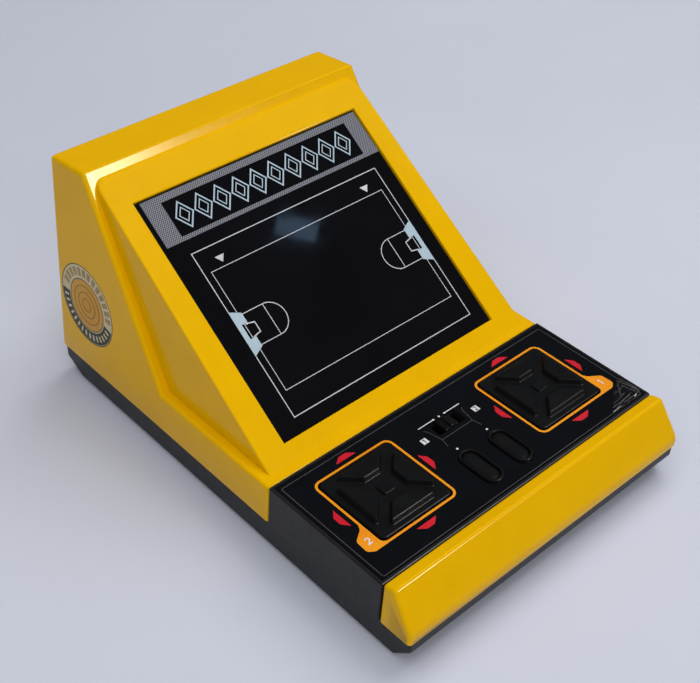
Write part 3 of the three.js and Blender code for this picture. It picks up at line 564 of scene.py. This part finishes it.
def facing(normal):
    if abs(normal.x) > SIDEWAYS:
        return "side"
    if normal.dot(SCREEN_NORMAL) > ON_SCREEN:
        return "screen"
    if abs(normal.z) > ALIGNED:
        return "top" if normal.z > 0 else "bottom"
    if abs(normal.y) > ALIGNED:
        return "rear" if normal.y > 0 else "front"
    return "slope"


HIGH_UP = 70  # above this height an edge belongs to the hood, below it to the ledge
HOUSING_EDGES = {
    ("side", "slope"): 2.0,
    ("rear", "side"): 1.7,
    ("rear", "top"): 1.6,
    ("slope", "top"): 0.6,
    ("front", "top"): 0.4,
    ("front", "side"): 1.0,
}
POD_EDGE, WINDOW_EDGE = 0.8, 0.5
HOOD_SIDE, LEDGE_SIDE = 1.8, 1.4
POD_CORNER = 4.0
NOSE_SIDE, NOSE_EDGE = 1.6, 1.1
DECK_EDGE, DECK_WALL = 0.6, 3
TRAY_EDGE, TRAY_WALL, TRAY_FRONT = 1.0, 2.5, 4
DOOR_EDGE, DOOR_REAR = 0.4, 0.5
SWITCH_OUTSIDE, SWITCH_HOLLOW = 0.35, 0.2
BADGE_SEAT = 3
NEAR = 1  # an edge this close to a part's box still counts as being at the part


def between(value, low, high, slack):
    return low - slack < value < high + slack


def near_badge(middle):
    low, high = box_mm("side_badge_right")
    beside = between(middle.y, low.y, high.y, NEAR) and between(middle.z, low.z, high.z, NEAR)
    return beside and abs(middle.x) > low.x - BADGE_SEAT


# Each function named ..._edge gives the radius in mm that an edge of one shell is rounded by, or 0.
# All take the same four values, because refined calls them all in one way.
def housing_edge(edge, middle, normals, outside):
    pair = tuple(sorted(facing(n) for n in normals))
    if "bottom" in pair or not edge.is_convex or near_badge(middle):
        return 0
    if "screen" in pair:
        low, high = box_mm("display_lens")
        beside = abs(middle.x) < high.x + NEAR and between(middle.z, low.z, high.z, NEAR)
        return WINDOW_EDGE if beside else POD_EDGE
    if not outside:
        return 0
    if pair == ("side", "top"):
        return HOOD_SIDE if middle.z > HIGH_UP else LEDGE_SIDE
    return HOUSING_EDGES.get(pair, 0)


def round_pod_corners(bm):
    """Rounds the two upper corners of the screen face's outline."""
    near = 0.1 * MM
    face = max((f for f in bm.faces if facing(f.normal) == "screen"), key=lambda f: f.calc_area())
    level = face.calc_center_median().dot(SCREEN_NORMAL)
    top = max(v.co.dot(UP_SLOPE) for v in face.verts)
    corners = []
    for edge in bm.edges:
        ends = [v for v in edge.verts if abs(v.co.dot(SCREEN_NORMAL) - level) < near]
        if len(ends) != 1 or top - ends[0].co.dot(UP_SLOPE) > near:
            continue
        if {facing(f.normal) for f in edge.link_faces} == {"side", "top"}:
            corners.append(edge)
    bmesh.ops.bevel(
        bm, geom=corners, offset=POD_CORNER * MM, offset_type="OFFSET", segments=6, profile=0.5,
        affect="EDGES",
    )
    bmesh.ops.recalc_face_normals(bm, faces=bm.faces)


def nose_edge(edge, middle, normals, outside):
    pair = tuple(sorted(facing(n) for n in normals))
    if not edge.is_convex or not outside or "bottom" in pair:
        return 0
    return NOSE_SIDE if "side" in pair else NOSE_EDGE


def deck_edge(edge, middle, normals, outside):
    low, high = box_mm("control_deck")
    inside = abs(middle.x) < high.x - DECK_WALL and between(middle.y, low.y, high.y, -NEAR)
    return 0 if inside or not outside or not edge.is_convex else DECK_EDGE


def tray_edge(edge, middle, normals, outside):
    low, high = box_mm("bottom_tray")
    if not outside or not edge.is_convex or middle.z > high.z - NEAR:
        return 0
    return TRAY_EDGE if abs(middle.x) > high.x - TRAY_WALL or middle.y < low.y + TRAY_FRONT else 0


def door_edge(edge, middle, normals, outside):
    rear = middle.y > box_mm("battery_door")[1].y - DOOR_REAR
    return DOOR_EDGE if rear and outside and edge.is_convex else 0


def switch_edge(edge, middle, normals, outside):
    if not edge.is_convex:
        return 0
    return SWITCH_OUTSIDE if outside else SWITCH_HOLLOW


RIM_TOP = 32.3  # the deck's rim is below this height, only the button collars stand above it
COLLAR_SEAT = 31.9


def make_shells():
    refined("upper_housing", housing_edge, segments=5, prepare=round_pod_corners)
    refined("front_nose", nose_edge)
    refined("control_deck", deck_edge, segments=3, lower=(RIM_TOP, COLLAR_SEAT))
    refined("bottom_tray", tray_edge)
    refined("battery_door", door_edge, segments=2)
    switch = refined("switch_knob", switch_edge, segments=3)
    switch.material_slots[0].material = KEY_PLASTIC


# ------------------------------------------------------------------ screen prints
ON_SHEET, ON_INK = 0.01, 0.07  # where a first and a second layer of ink start, above the sheet
PRINT_SHIFT = 1.3  # the printed picture sits this far right of the lens's middle
BAND = {"left": -54.6, "right": 56.6, "below_top": 0.4, "height": 20.6}
TITLE = {"half": 47.8, "low": 1.8, "high": 3.0}
LOZENGE = {"count": 10, "pitch": 9.2, "half_x": 4.1, "half_y": 5.8}
LOZENGE_LINES = ((1, 0.6), (0.55, 0.4))  # share of the size, and line width
COURT = {"half": 48.4, "low": 6.2, "high": 80.6, "line": 0.38}
FIELD = {"half": 45.2, "low": 16.7, "high": 70.8, "line": 0.28}
GOAL = {"depth": 11.5, "radius": 7, "line": 0.32, "arc_line": 0.36}
NET = {"near": 0.6, "far": 4.4, "near_half": 3, "far_half": 2.2, "line": 0.45}
ARROW = {"x": 38.3, "half": 2.2, "base": 75.6, "tip": 72.6}
BOARD = {"outside": 0.2, "inside": 1.6, "back": 2.2}
BOARD_HALVES = {"outer": 10, "inner": 7.6, "gap": 3.2}


def make_screen_prints():
    origin = X * PRINT_SHIFT * MM + UP_SLOPE * LENS_BOTTOM + SCREEN_NORMAL * LENS_FRONT

    def layer(name, lift=ON_SHEET):
        return Print(name, origin, X, UP_SLOPE, lift)

    top = LENS_LENGTH - BAND["below_top"]
    low = top - BAND["height"]
    left, right = BAND["left"] - PRINT_SHIFT, BAND["right"] - PRINT_SHIFT
    panel = (low + TITLE["low"], top - TITLE["high"])
    band = layer("screen_band")
    band.rectangle(left, right, panel[1], top)
    band.rectangle(left, right, low, panel[0])
    band.rectangle(left, -TITLE["half"], *panel)
    band.rectangle(TITLE["half"], right, *panel)
    band.finish(make_halftone_material(math.atan2(UP_SLOPE.z, UP_SLOPE.y)), "screen_print")

    # a plain row of outlined lozenges in place of a title
    title = layer("screen_title")
    middle = (panel[0] + panel[1]) / 2
    for i in range(LOZENGE["count"]):
        x = (i - (LOZENGE["count"] - 1) / 2) * LOZENGE["pitch"]
        for share, width in LOZENGE_LINES:
            a, b = LOZENGE["half_x"] * share, LOZENGE["half_y"] * share
            outline = [(x - a, middle), (x, middle + b), (x + a, middle), (x, middle - b)]
            title.stroke(outline, width, True)
    title.finish(INKS["screen_blue"], "screen_print")

    lines = layer("screen_lines")
    for area in (COURT, FIELD):
        outline = corners_of(-area["half"], area["half"], area["low"], area["high"])
        lines.stroke(outline, area["line"], True)
    centre = (FIELD["low"] + FIELD["high"]) / 2
    radius = GOAL["radius"]
    for side in (-1, 1):
        edge = side * FIELD["half"]
        line_x = side * (FIELD["half"] - GOAL["depth"])
        lines.stroke(mirrored([(edge, radius), (line_x, radius)], centre), GOAL["line"])
        lines.stroke(arc(line_x, centre, radius, 90, 90 + side * 180, 24), GOAL["arc_line"])
        near, far = edge - side * NET["near"], edge - side * NET["far"]
        net = mirrored([(near, NET["near_half"]), (far, NET["far_half"])], centre)
        lines.stroke(net, NET["line"])
        x, half, base = side * ARROW["x"], ARROW["half"], ARROW["base"]
        lines.fill([(x - half, base), (x, ARROW["tip"]), (x + half, base)])
    lines.finish(INKS["screen_white"], "screen_print")

    boards = layer("screen_goals", ON_INK)
    for side in (-1, 1):
        edge = side * (COURT["half"] + BOARD["outside"])
        inner = side * (FIELD["half"] - BOARD["inside"])
        back = edge - side * BOARD["back"]
        gap = BOARD_HALVES["gap"]
        rim = [(edge, BOARD_HALVES["outer"]), (inner, BOARD_HALVES["inner"])]
        boards.fill(mirrored([*rim, (inner, gap), (back, gap)], centre))
    boards.finish(INKS["screen_blue"], "screen_print")


# ------------------------------------------------------------------ deck prints
DIGIT_SHAPES = {
    1: [(-0.22, 0.28), (0.06, 0.5), (0.06, -0.5)],
    2: arc(0, 0.22, 0.28, 165, -35, 8) + [(-0.28, -0.46), (0.32, -0.46)],
}
DIGIT_LINE = 0.17


def numeral(layer, digit, x, y, size):
    points = [(x + size * a, y + size * b) for a, b in DIGIT_SHAPES[digit]]
    layer.stroke(points, size * DIGIT_LINE)


FRAME = {"half": 18.75, "corner": 3, "line": 1.0}
TAB = [
    (18.8, -5.2), (20.1, -8.2), (25, -11.6), (25.3, -17.4), (22.8, -19.25), (16.2, -19.25),
    (15.75, -18.75), (17.25, -18.35), (18.35, -17.25), (18.75, -15.75),
]
TAB_LIFT, TAB_EASE = -0.01, 1.0
TAB_DIGIT = {"x": 21.6, "y": -14.1, "size": 2.9}
MARK = [(-5.0, 21.2), (5.0, 21.2), (1.8, 23.7), (-1.8, 23.7)]
MARK_EASE = 0.5
BORDER = {"half": 71, "front_inset": 0.7, "rear_inset": 1.9, "corner": 0.8, "line": 0.28}
LEGEND = {"above": 4.4, "pitch": 3, "dot": 0.45, "start": 3.5, "reach": 11.3, "line": 0.4}
BOX = {"x": 14.1, "below": 1.9, "half": 1.4, "digit": 2.0}
BUTTON_DOT = {"behind": 2.7, "radius": 0.5}
# The thin line round the switch, from the knob's middle: down one side, and where it ends in front.
SWITCH_LINE = [(10.6, 2.2), (9.6, 1), (8.4, -5.7)]
SWITCH_LINE_END = (9.2, -9.7)
SWITCH_LINE_WIDTH = 0.25


def middle_of(node):
    low, high = box_mm(node)
    return (low.x + high.x) / 2, (low.y + high.y) / 2


def make_deck_prints():
    low, high = box_mm("deck_overlay")
    top = Z * high.z * MM

    def layer(name, lift=ON_SHEET):
        return Print(name, top, X, Y, lift)

    frames = layer("pad_frames")
    tabs = layer("pad_tabs", TAB_LIFT)
    marks = layer("pad_marks")
    white = layer("legends")
    digits = layer("pad_numbers", ON_INK)
    box_digits = layer("box_numbers", ON_INK)
    grey = layer("deck_lines")
    for number, side in ((1, 1), (2, -1)):
        x, y = middle_of(f"pad_{number}")
        half = FRAME["half"]
        frames.stroke(rounded_rectangle(x, y, half, half, FRAME["corner"]), FRAME["line"], True)
        tabs.fill(softened([(x + side * a, y + b) for a, b in TAB], TAB_EASE))
        numeral(digits, number, x + side * TAB_DIGIT["x"], y + TAB_DIGIT["y"], TAB_DIGIT["size"])
        for c, s in ((1, 0), (0, 1), (-1, 0), (0, -1)):
            shape = [(x + c * u - s * v, y + s * u + c * v) for u, v in MARK]
            marks.fill(softened(shape, MARK_EASE, 3))
    front, rear = low.y + BORDER["front_inset"], high.y - BORDER["rear_inset"]
    border = rounded_rectangle(
        0, (front + rear) / 2, BORDER["half"], (rear - front) / 2, BORDER["corner"],
    )
    grey.stroke(border, BORDER["line"], True)

    x, y = middle_of("switch_knob")
    legend_y = y + LEGEND["above"]
    for side in (-1, 0, 1):
        white.disc(x + side * LEGEND["pitch"], legend_y, LEGEND["dot"])
        if side:
            start, end = x + side * LEGEND["start"], x + side * LEGEND["reach"]
            white.stroke([(start, legend_y), (end, legend_y)], LEGEND["line"])
    for side, digit in ((-1, 1), (1, 2)):
        a, b, half = x + side * BOX["x"], y - BOX["below"], BOX["half"]
        white.rectangle(a - half, a + half, b - half, b + half)
        numeral(box_digits, digit, a, b, BOX["digit"])
    for name in ("left_action_button", "right_action_button"):
        rear_end = box_mm(name)[1].y
        white.disc(middle_of(name)[0], rear_end + BUTTON_DOT["behind"], BUTTON_DOT["radius"])
    left, right = ([(x + side * a, y + b) for a, b in SWITCH_LINE] for side in (-1, 1))
    grey.stroke(left + right[::-1], SWITCH_LINE_WIDTH)
    for side, line in ((-1, left), (1, right)):
        end = (x + side * SWITCH_LINE_END[0], y + SWITCH_LINE_END[1])
        grey.stroke([line[-1], end], SWITCH_LINE_WIDTH)

    inked = (
        (frames, "ink_orange"), (tabs, "ink_orange"), (marks, "ink_red"), (white, "ink_white"),
        (digits, "ink_white"), (box_digits, "ink_black"), (grey, "ink_grey"),
    )
    for printed, colour in inked:
        printed.finish(INKS[colour], "overlay_print")


# Lifted, creased film at the sheet's right front corner: its inner and outer edges.
FILM_INNER = [(53.5, -88.4), (59.5, -85), (64.4, -81.4), (70.9, -78)]
FILM_OUTER = [(54.5, -90), (61, -90.2), (68.5, -90.2), (72.1, -84)]
FILM = {"bottom": 0.005, "edge": 0.03, "height": 0.3, "cells_along": 56, "cells_across": 14}
# Waves along and across the film, where they start, and their share of its height.
FILM_FOLDS = ((19, 5, 0, 0.55), (8, -7, 1, 0.45))
# Painted highlights on the film, where its creases and lifted edge catch the light: light streaks, and
# small white glints; both ends and the width.
FILM_CREASE_HIGHLIGHTS = [
    ((69.2, -78.8), (71.6, -88.2), 0.3),
    ((70.9, -78.6), (72.0, -86.6), 0.24),
    ((68.8, -81.5), (70.2, -87.6), 0.2),
    ((68.0, -87.0), (55.4, -87.9), 0.2),
    ((66.0, -85.3), (57.6, -86.6), 0.16),
    ((66.4, -87.5), (56.4, -89.3), 0.2),
    ((68.4, -79.8), (63.4, -85.4), 0.22),
    ((71.4, -88.5), (61.2, -88.8), 0.2),
]
FILM_GLINTS = [((67.2, -89.4), (69, -88.9), 0.32), ((53.4, -89.6), (58.8, -89.5), 0.14)]
STREAK_LIFT, GLINT_LIFT, FILM_INK_THICK = 0.33, 0.38, 0.04
STREAK_BEND, STREAK_STEPS = 0.8, 6


def along_line(points, share):
    spot = share * (len(points) - 1)
    i = min(int(spot), len(points) - 2)
    return Vector(points[i]).lerp(Vector(points[i + 1]), spot - i)


def make_film():
    level = box_mm("deck_overlay")[1].z
    rings = []
    for i in range(FILM["cells_along"] + 1):
        u = i / FILM["cells_along"]
        inner, outer = along_line(FILM_INNER, u), along_line(FILM_OUTER, u)
        ring = []
        for j in range(FILM["cells_across"] + 1):
            v = j / FILM["cells_across"]
            spot = inner.lerp(outer, v)
            crease = sum(share * abs(math.sin(a * u + b * v + c)) for a, b, c, share in FILM_FOLDS)
            swell = math.sin(math.pi * v) * math.sin(math.pi * u) ** 0.5
            ring.append((spot.x, spot.y, level + FILM["edge"] + FILM["height"] * crease * swell))
        bottom = level + FILM["bottom"]
        ring += [(outer.x, outer.y, bottom), (inner.x, inner.y, bottom)]
        rings.append(ring)
    bm = bmesh.new()
    loft(bm, rings)
    bmesh.ops.recalc_face_normals(bm, faces=bm.faces)
    mesh = bpy.data.meshes.new("creased_film")
    bm.to_mesh(mesh)
    bm.free()
    link_piece("creased_film", mesh, CREASED_FILM, "root", slot="overlay_print")

    # Painted highlights: light strokes along the creases stand in for light caught on them.
    crease_highlights = Print("film_crease_highlights", Z * level * MM, X, Y, STREAK_LIFT, FILM_INK_THICK)
    for i, (start, end, width) in enumerate(FILM_CREASE_HIGHLIGHTS):
        start, end = Vector(start), Vector(end)
        across = Vector((start.y - end.y, end.x - start.x)).normalized()
        bend = (start + end) / 2 + across * STREAK_BEND * math.sin(2 * i + 1)
        crease_highlights.stroke(eased(start, bend, end, STREAK_STEPS), width)
    crease_highlights.finish(INKS["film_highlight"], "overlay_print")
    # Painted glints: short white strokes where the lifted edge catches the light.
    glints = Print("film_glints", Z * level * MM, X, Y, GLINT_LIFT, FILM_INK_THICK)
    for start, end, width in FILM_GLINTS:
        glints.stroke([start, end], width)
    glints.finish(INKS["ink_white"], "overlay_print")


# ------------------------------------------------------------------ pads and buttons
SUNK = 0.4  # keys and knobs start this far below the top of their plate
PLATE = {"bottom": 30.9, "top": 33.1, "corner": 2.5, "lower_edge": 0.3, "round": 0.7}
KEY = {"inner": 6.8, "outer": 14.9, "narrow": 2.9, "lean": 0.35, "round": 0.85}
KEY_CORNER, KEY_CORNER_LEAST = 0.9, 0.25
KEY_FLARE = [(0.35, -SUNK), (0.35, 0), (0.12, 0.12), (0, 0.35)]  # growth, and height over the plate
KNOB = {"half": 2.8, "rise": 0.7, "lean": 0.1, "round": 0.35, "corner": 0.8}
HUB = {"outer": 7.5, "inner": 5.6, "into_plate": 0.5, "sides": 24}


def make_pads():
    top = PLATE["top"]
    lower_edge = PLATE["lower_edge"]
    foot = [(-lower_edge, PLATE["bottom"]), (0, PLATE["bottom"] + lower_edge)]
    plate = foot + rounded_over(0, top, PLATE["round"])
    near, far = KEY["inner"] - KEY["narrow"], KEY["outer"] - KEY["narrow"]
    outline = [(-near, KEY["inner"]), (near, KEY["inner"]), (far, KEY["outer"]), (-far, KEY["outer"])]
    flare = [(grow, top + rise) for grow, rise in KEY_FLARE]
    knob_top = rounded_over(-KNOB["lean"], top + KNOB["rise"], KNOB["round"], 3)
    knob = [(0, top - SUNK), *knob_top]
    inside = PLATE["bottom"] + HUB["into_plate"]
    for number in (1, 2):
        name = f"pad_{number}"
        low, high = box_mm(name)
        x, y = middle_of(name)
        half = (high.x - low.x) / 2
        bm = bmesh.new()
        loft(bm, [
            at_height(rounded_rectangle(x, y, half + grow, half + grow, PLATE["corner"] + grow), z)
            for grow, z in plate
        ])
        sides = flare + rounded_over(-KEY["lean"], high.z, KEY["round"])
        for quarter in range(4):
            turn = Matrix.Rotation(quarter * math.pi / 2, 2)
            corners = [turn @ Vector(corner) + Vector((x, y)) for corner in outline]
            loft(bm, [
                at_height(rounded_polygon(corners, grow, max(KEY_CORNER + grow, KEY_CORNER_LEAST)), z)
                for grow, z in sides
            ])
        size, corner = KNOB["half"], KNOB["corner"]
        loft(bm, [
            at_height(rounded_rectangle(x, y, size + grow, size + grow, corner + grow), z)
            for grow, z in knob
        ])
        outer, inner = HUB["outer"], HUB["inner"]
        hub = [(outer, low.z), (outer, inside), (inner, inside), (inner, low.z)]
        last = 360 - 360 / HUB["sides"]
        rings = [at_height(arc(x, y, radius, 0, last, HUB["sides"] - 1), z) for radius, z in hub]
        loft(bm, rings, closed=True)
        finished(bm, name + "_detail", KEY_PLASTIC, name)


CAP = {"flange": 1.0, "flange_height": 1.1, "dome_height": 1.15, "dome_reach": 2.8, "dome_steps": 9}
COLLAR = {"half_x": 4.3, "half_y": 10.1, "gap": 0.3, "below": 0.9, "above": 1.1, "round": 0.37}


def make_buttons():
    for name in ("left_action_button", "right_action_button"):
        low, high = box_mm(name)
        x, y = middle_of(name)
        half_x = (high.x - low.x) / 2 - CAP["flange"]
        half_y = (high.y - low.y) / 2 - CAP["flange"]
        flange_top = low.z + CAP["flange_height"]
        rings = [(CAP["flange"], low.z), (CAP["flange"], flange_top), (0, flange_top)]
        for i in range(CAP["dome_steps"] + 1):
            angle = math.pi / 2 * i / CAP["dome_steps"]
            rings.append((
                -CAP["dome_reach"] * (1 - math.cos(angle)),
                high.z - CAP["dome_height"] * (1 - math.sin(angle)),
            ))
        bm = bmesh.new()
        loft(bm, [at_height(stadium(x, y, half_x + grow, half_y + grow), z) for grow, z in rings])
        finished(bm, name + "_detail", KEY_PLASTIC, name)

        sheet = box_mm("deck_overlay")[1].z
        bottom, top = sheet - COLLAR["below"], sheet + COLLAR["above"]
        edge = rounded_over(0, top, COLLAR["round"])
        wall_x, wall_y = COLLAR["half_x"], COLLAR["half_y"]
        outer = [(wall_x + grow, wall_y + grow, z) for grow, z in [(0, bottom), *edge]]
        hole_x, hole_y = half_x + COLLAR["gap"], half_y + COLLAR["gap"]
        inner = [(hole_x - grow, hole_y - grow, z) for grow, z in [*edge[::-1], (0, bottom)]]
        bm = bmesh.new()
        loft(bm, [at_height(stadium(x, y, a, b), z) for a, b, z in outer + inner], closed=True)
        finished(bm, name.replace("button", "collar"), KEY_PLASTIC, "control_deck", False)


# ------------------------------------------------------------------ side stickers
BADGE = {"spread": 0.25, "thick": 0.6, "disc": 0.64, "overlap": 0.25, "line": 0.45, "ring_line": 0.35}
BADGE_BAND = {"start": 178, "end": 345, "width": 0.8}
BADGE_RINGS = (0.25, 0.5, 0.75)
# Short blocks round the band: angles in degrees, half the length as a share of the band's width.
TAN_TICKS = {"first": 2, "count": 13, "pitch": 13, "half_angle": 4.4, "half_length": 0.28}
CREAM_TICKS = {"first": 188, "count": 15, "pitch": 10.6, "half_angle": 2.0, "half_length": 0.2}
IN_STICKER, ON_STICKER = -0.04, 0.012  # where the layers of ink start


def add_ticks(layer, band, width, ticks):
    half_angle, half_length = ticks["half_angle"], width * ticks["half_length"]
    for i in range(ticks["count"]):
        angle = ticks["first"] + ticks["pitch"] * i
        inner = arc(0, 0, band - half_length, angle - half_angle, angle + half_angle, 2)
        outer = arc(0, 0, band + half_length, angle + half_angle, angle - half_angle, 2)
        layer.fill(inner + outer)


def make_stickers():
    for node, side in (("side_badge_left", -1), ("side_badge_right", 1)):
        mesh = NODES[node].data
        normal = max(mesh.polygons, key=lambda f: f.normal.x * side).normal.normalized()
        low, high = box_mm(node)
        middle = (low + high) / 2 * MM
        front = max(v.co.dot(normal) for v in mesh.vertices)
        origin = middle + normal * (front - middle.dot(normal))
        along = (Z - normal * normal.z).normalized()
        across = along.cross(normal)
        radius = (high.y - low.y) / 2 + BADGE["spread"]
        disc = radius * BADGE["disc"]
        band, width = (disc + radius) / 2, radius - disc

        def layer(suffix, lift=IN_STICKER, thick=INK_THICK):
            return Print(f"{node}_{suffix}", origin, across, along, lift, thick)

        base = layer("sheet", -BADGE["thick"], BADGE["thick"])
        base.disc(0, 0, radius, 96)
        base.finish(MATERIALS["sticker"], None, node)
        dark = layer("dark")
        dark.ring(radius - BADGE["line"] / 2, BADGE["line"], 96)
        dark.ring(disc, BADGE["line"])
        around = arc(0, 0, band, BADGE_BAND["start"], BADGE_BAND["end"], 48)
        dark.stroke(around, width * BADGE_BAND["width"])
        dark.finish(INKS["ink_olive"], "sticker")
        tan = layer("tan")
        add_ticks(tan, band, width, TAN_TICKS)
        tan.finish(INKS["ink_tan"], "sticker")
        cream = layer("cream", ON_STICKER)
        add_ticks(cream, band, width, CREAM_TICKS)
        cream.finish(INKS["ink_cream"], "sticker")
        middle_disc = layer("disc")
        middle_disc.disc(0, 0, disc - BADGE["overlap"], 72)
        middle_disc.finish(INKS["ink_amber"], "sticker")
        rings = layer("rings", ON_STICKER)
        for share in BADGE_RINGS:
            rings.ring(disc * share, BADGE["ring_line"], 48)
        rings.finish(INKS["ink_brown"], "sticker")


# ------------------------------------------------------------------ inner pieces and the rest
def finish_cad_nodes():
    for name, node in NODES.items():
        material = MATERIALS[SLOTS[name]]
        for slot in node.material_slots:
            slot.material = material
        if not node.material_slots:
            node.data.materials.append(material)


# ------------------------------------------------------------------ stage and light
FLOOR_HALF, FLOOR_CELLS = 3.0, 8


def make_stage():
    material = surface(
        "pale_floor", (0.60, 0.635, 0.73), (0.63, 0.66, 0.76), (0.7, 0.8), patch=6, grain=400,
        specular=0.1,
    )
    bm = bmesh.new()
    bmesh.ops.create_grid(bm, x_segments=FLOOR_CELLS, y_segments=FLOOR_CELLS, size=FLOOR_HALF)
    mesh = bpy.data.meshes.new("floor")
    bm.to_mesh(mesh)
    bm.free()
    mesh.materials.append(material)
    floor = bpy.data.objects.new("floor", mesh)
    bpy.context.scene.collection.objects.link(floor)


# Name, place, target, width and height in metres, power, colour, and kind: a "diffuse" light
# lights surfaces evenly, and a "glossy" one is only seen as a highlight.
LIGHTS = (
    ("key", (0.7, 0.1, 1.2), (0, 0, 0.03), (1.0, 1.0), 8.8, (1.0, 0.98, 0.95), "diffuse"),
    ("overhead", (-0.3, -0.2, 1.5), (0, 0, 0), (1.8, 1.8), 14, (0.96, 0.97, 1.0), "diffuse"),
    ("left_fill", (-1.2, -0.7, 0.8), (0, 0, 0.05), (1.2, 1.0), 3.6, (1.0, 0.93, 0.85), "diffuse"),
    ("front_fill", (-0.2, -1.4, 0.7), (0, 0, 0.05), (1.2, 0.8), 5, (1.0, 1.0, 1.0), "diffuse"),
    ("window", (0.31, -0.68, 0.49), (-0.05, 0.09, 0.11), (0.12, 0.16), 10, (1.0, 0.99, 0.96), "glossy"),
    (
        "sky_card", (0.534, -0.283, 0.861), (0, 0.04, 0.08), (0.025, 0.05), 0.007, (0.4, 0.65, 1.0),
        "glossy",
    ),
)


def area_light(name, at, target, size, power, colour, kind):
    data = bpy.data.lights.new(name, "AREA")
    data.shape = "RECTANGLE"
    data.size, data.size_y = size
    data.energy = power
    data.color = colour
    light = bpy.data.objects.new(name, data)
    light.location = at
    light.rotation_mode = "QUATERNION"
    light.rotation_quaternion = (Vector(target) - Vector(at)).to_track_quat("-Z", "Y")
    light.visible_glossy = kind == "glossy"
    light.visible_diffuse = kind == "diffuse"
    bpy.context.scene.collection.objects.link(light)


def make_light():
    for light in LIGHTS:
        area_light(*light)
    world = bpy.data.worlds.new("studio")
    world.use_nodes = True
    background = world.node_tree.nodes["Background"]
    background.inputs["Color"].default_value = (0.85, 0.87, 1.0, 1)
    background.inputs["Strength"].default_value = 0.08
    bpy.context.scene.world = world
    bpy.context.scene.view_settings.view_transform = "Standard"


make_camera()
make_shells()
make_screen_prints()
make_deck_prints()
make_film()
make_pads()
make_buttons()
make_stickers()
finish_cad_nodes()
make_stage()
make_light()
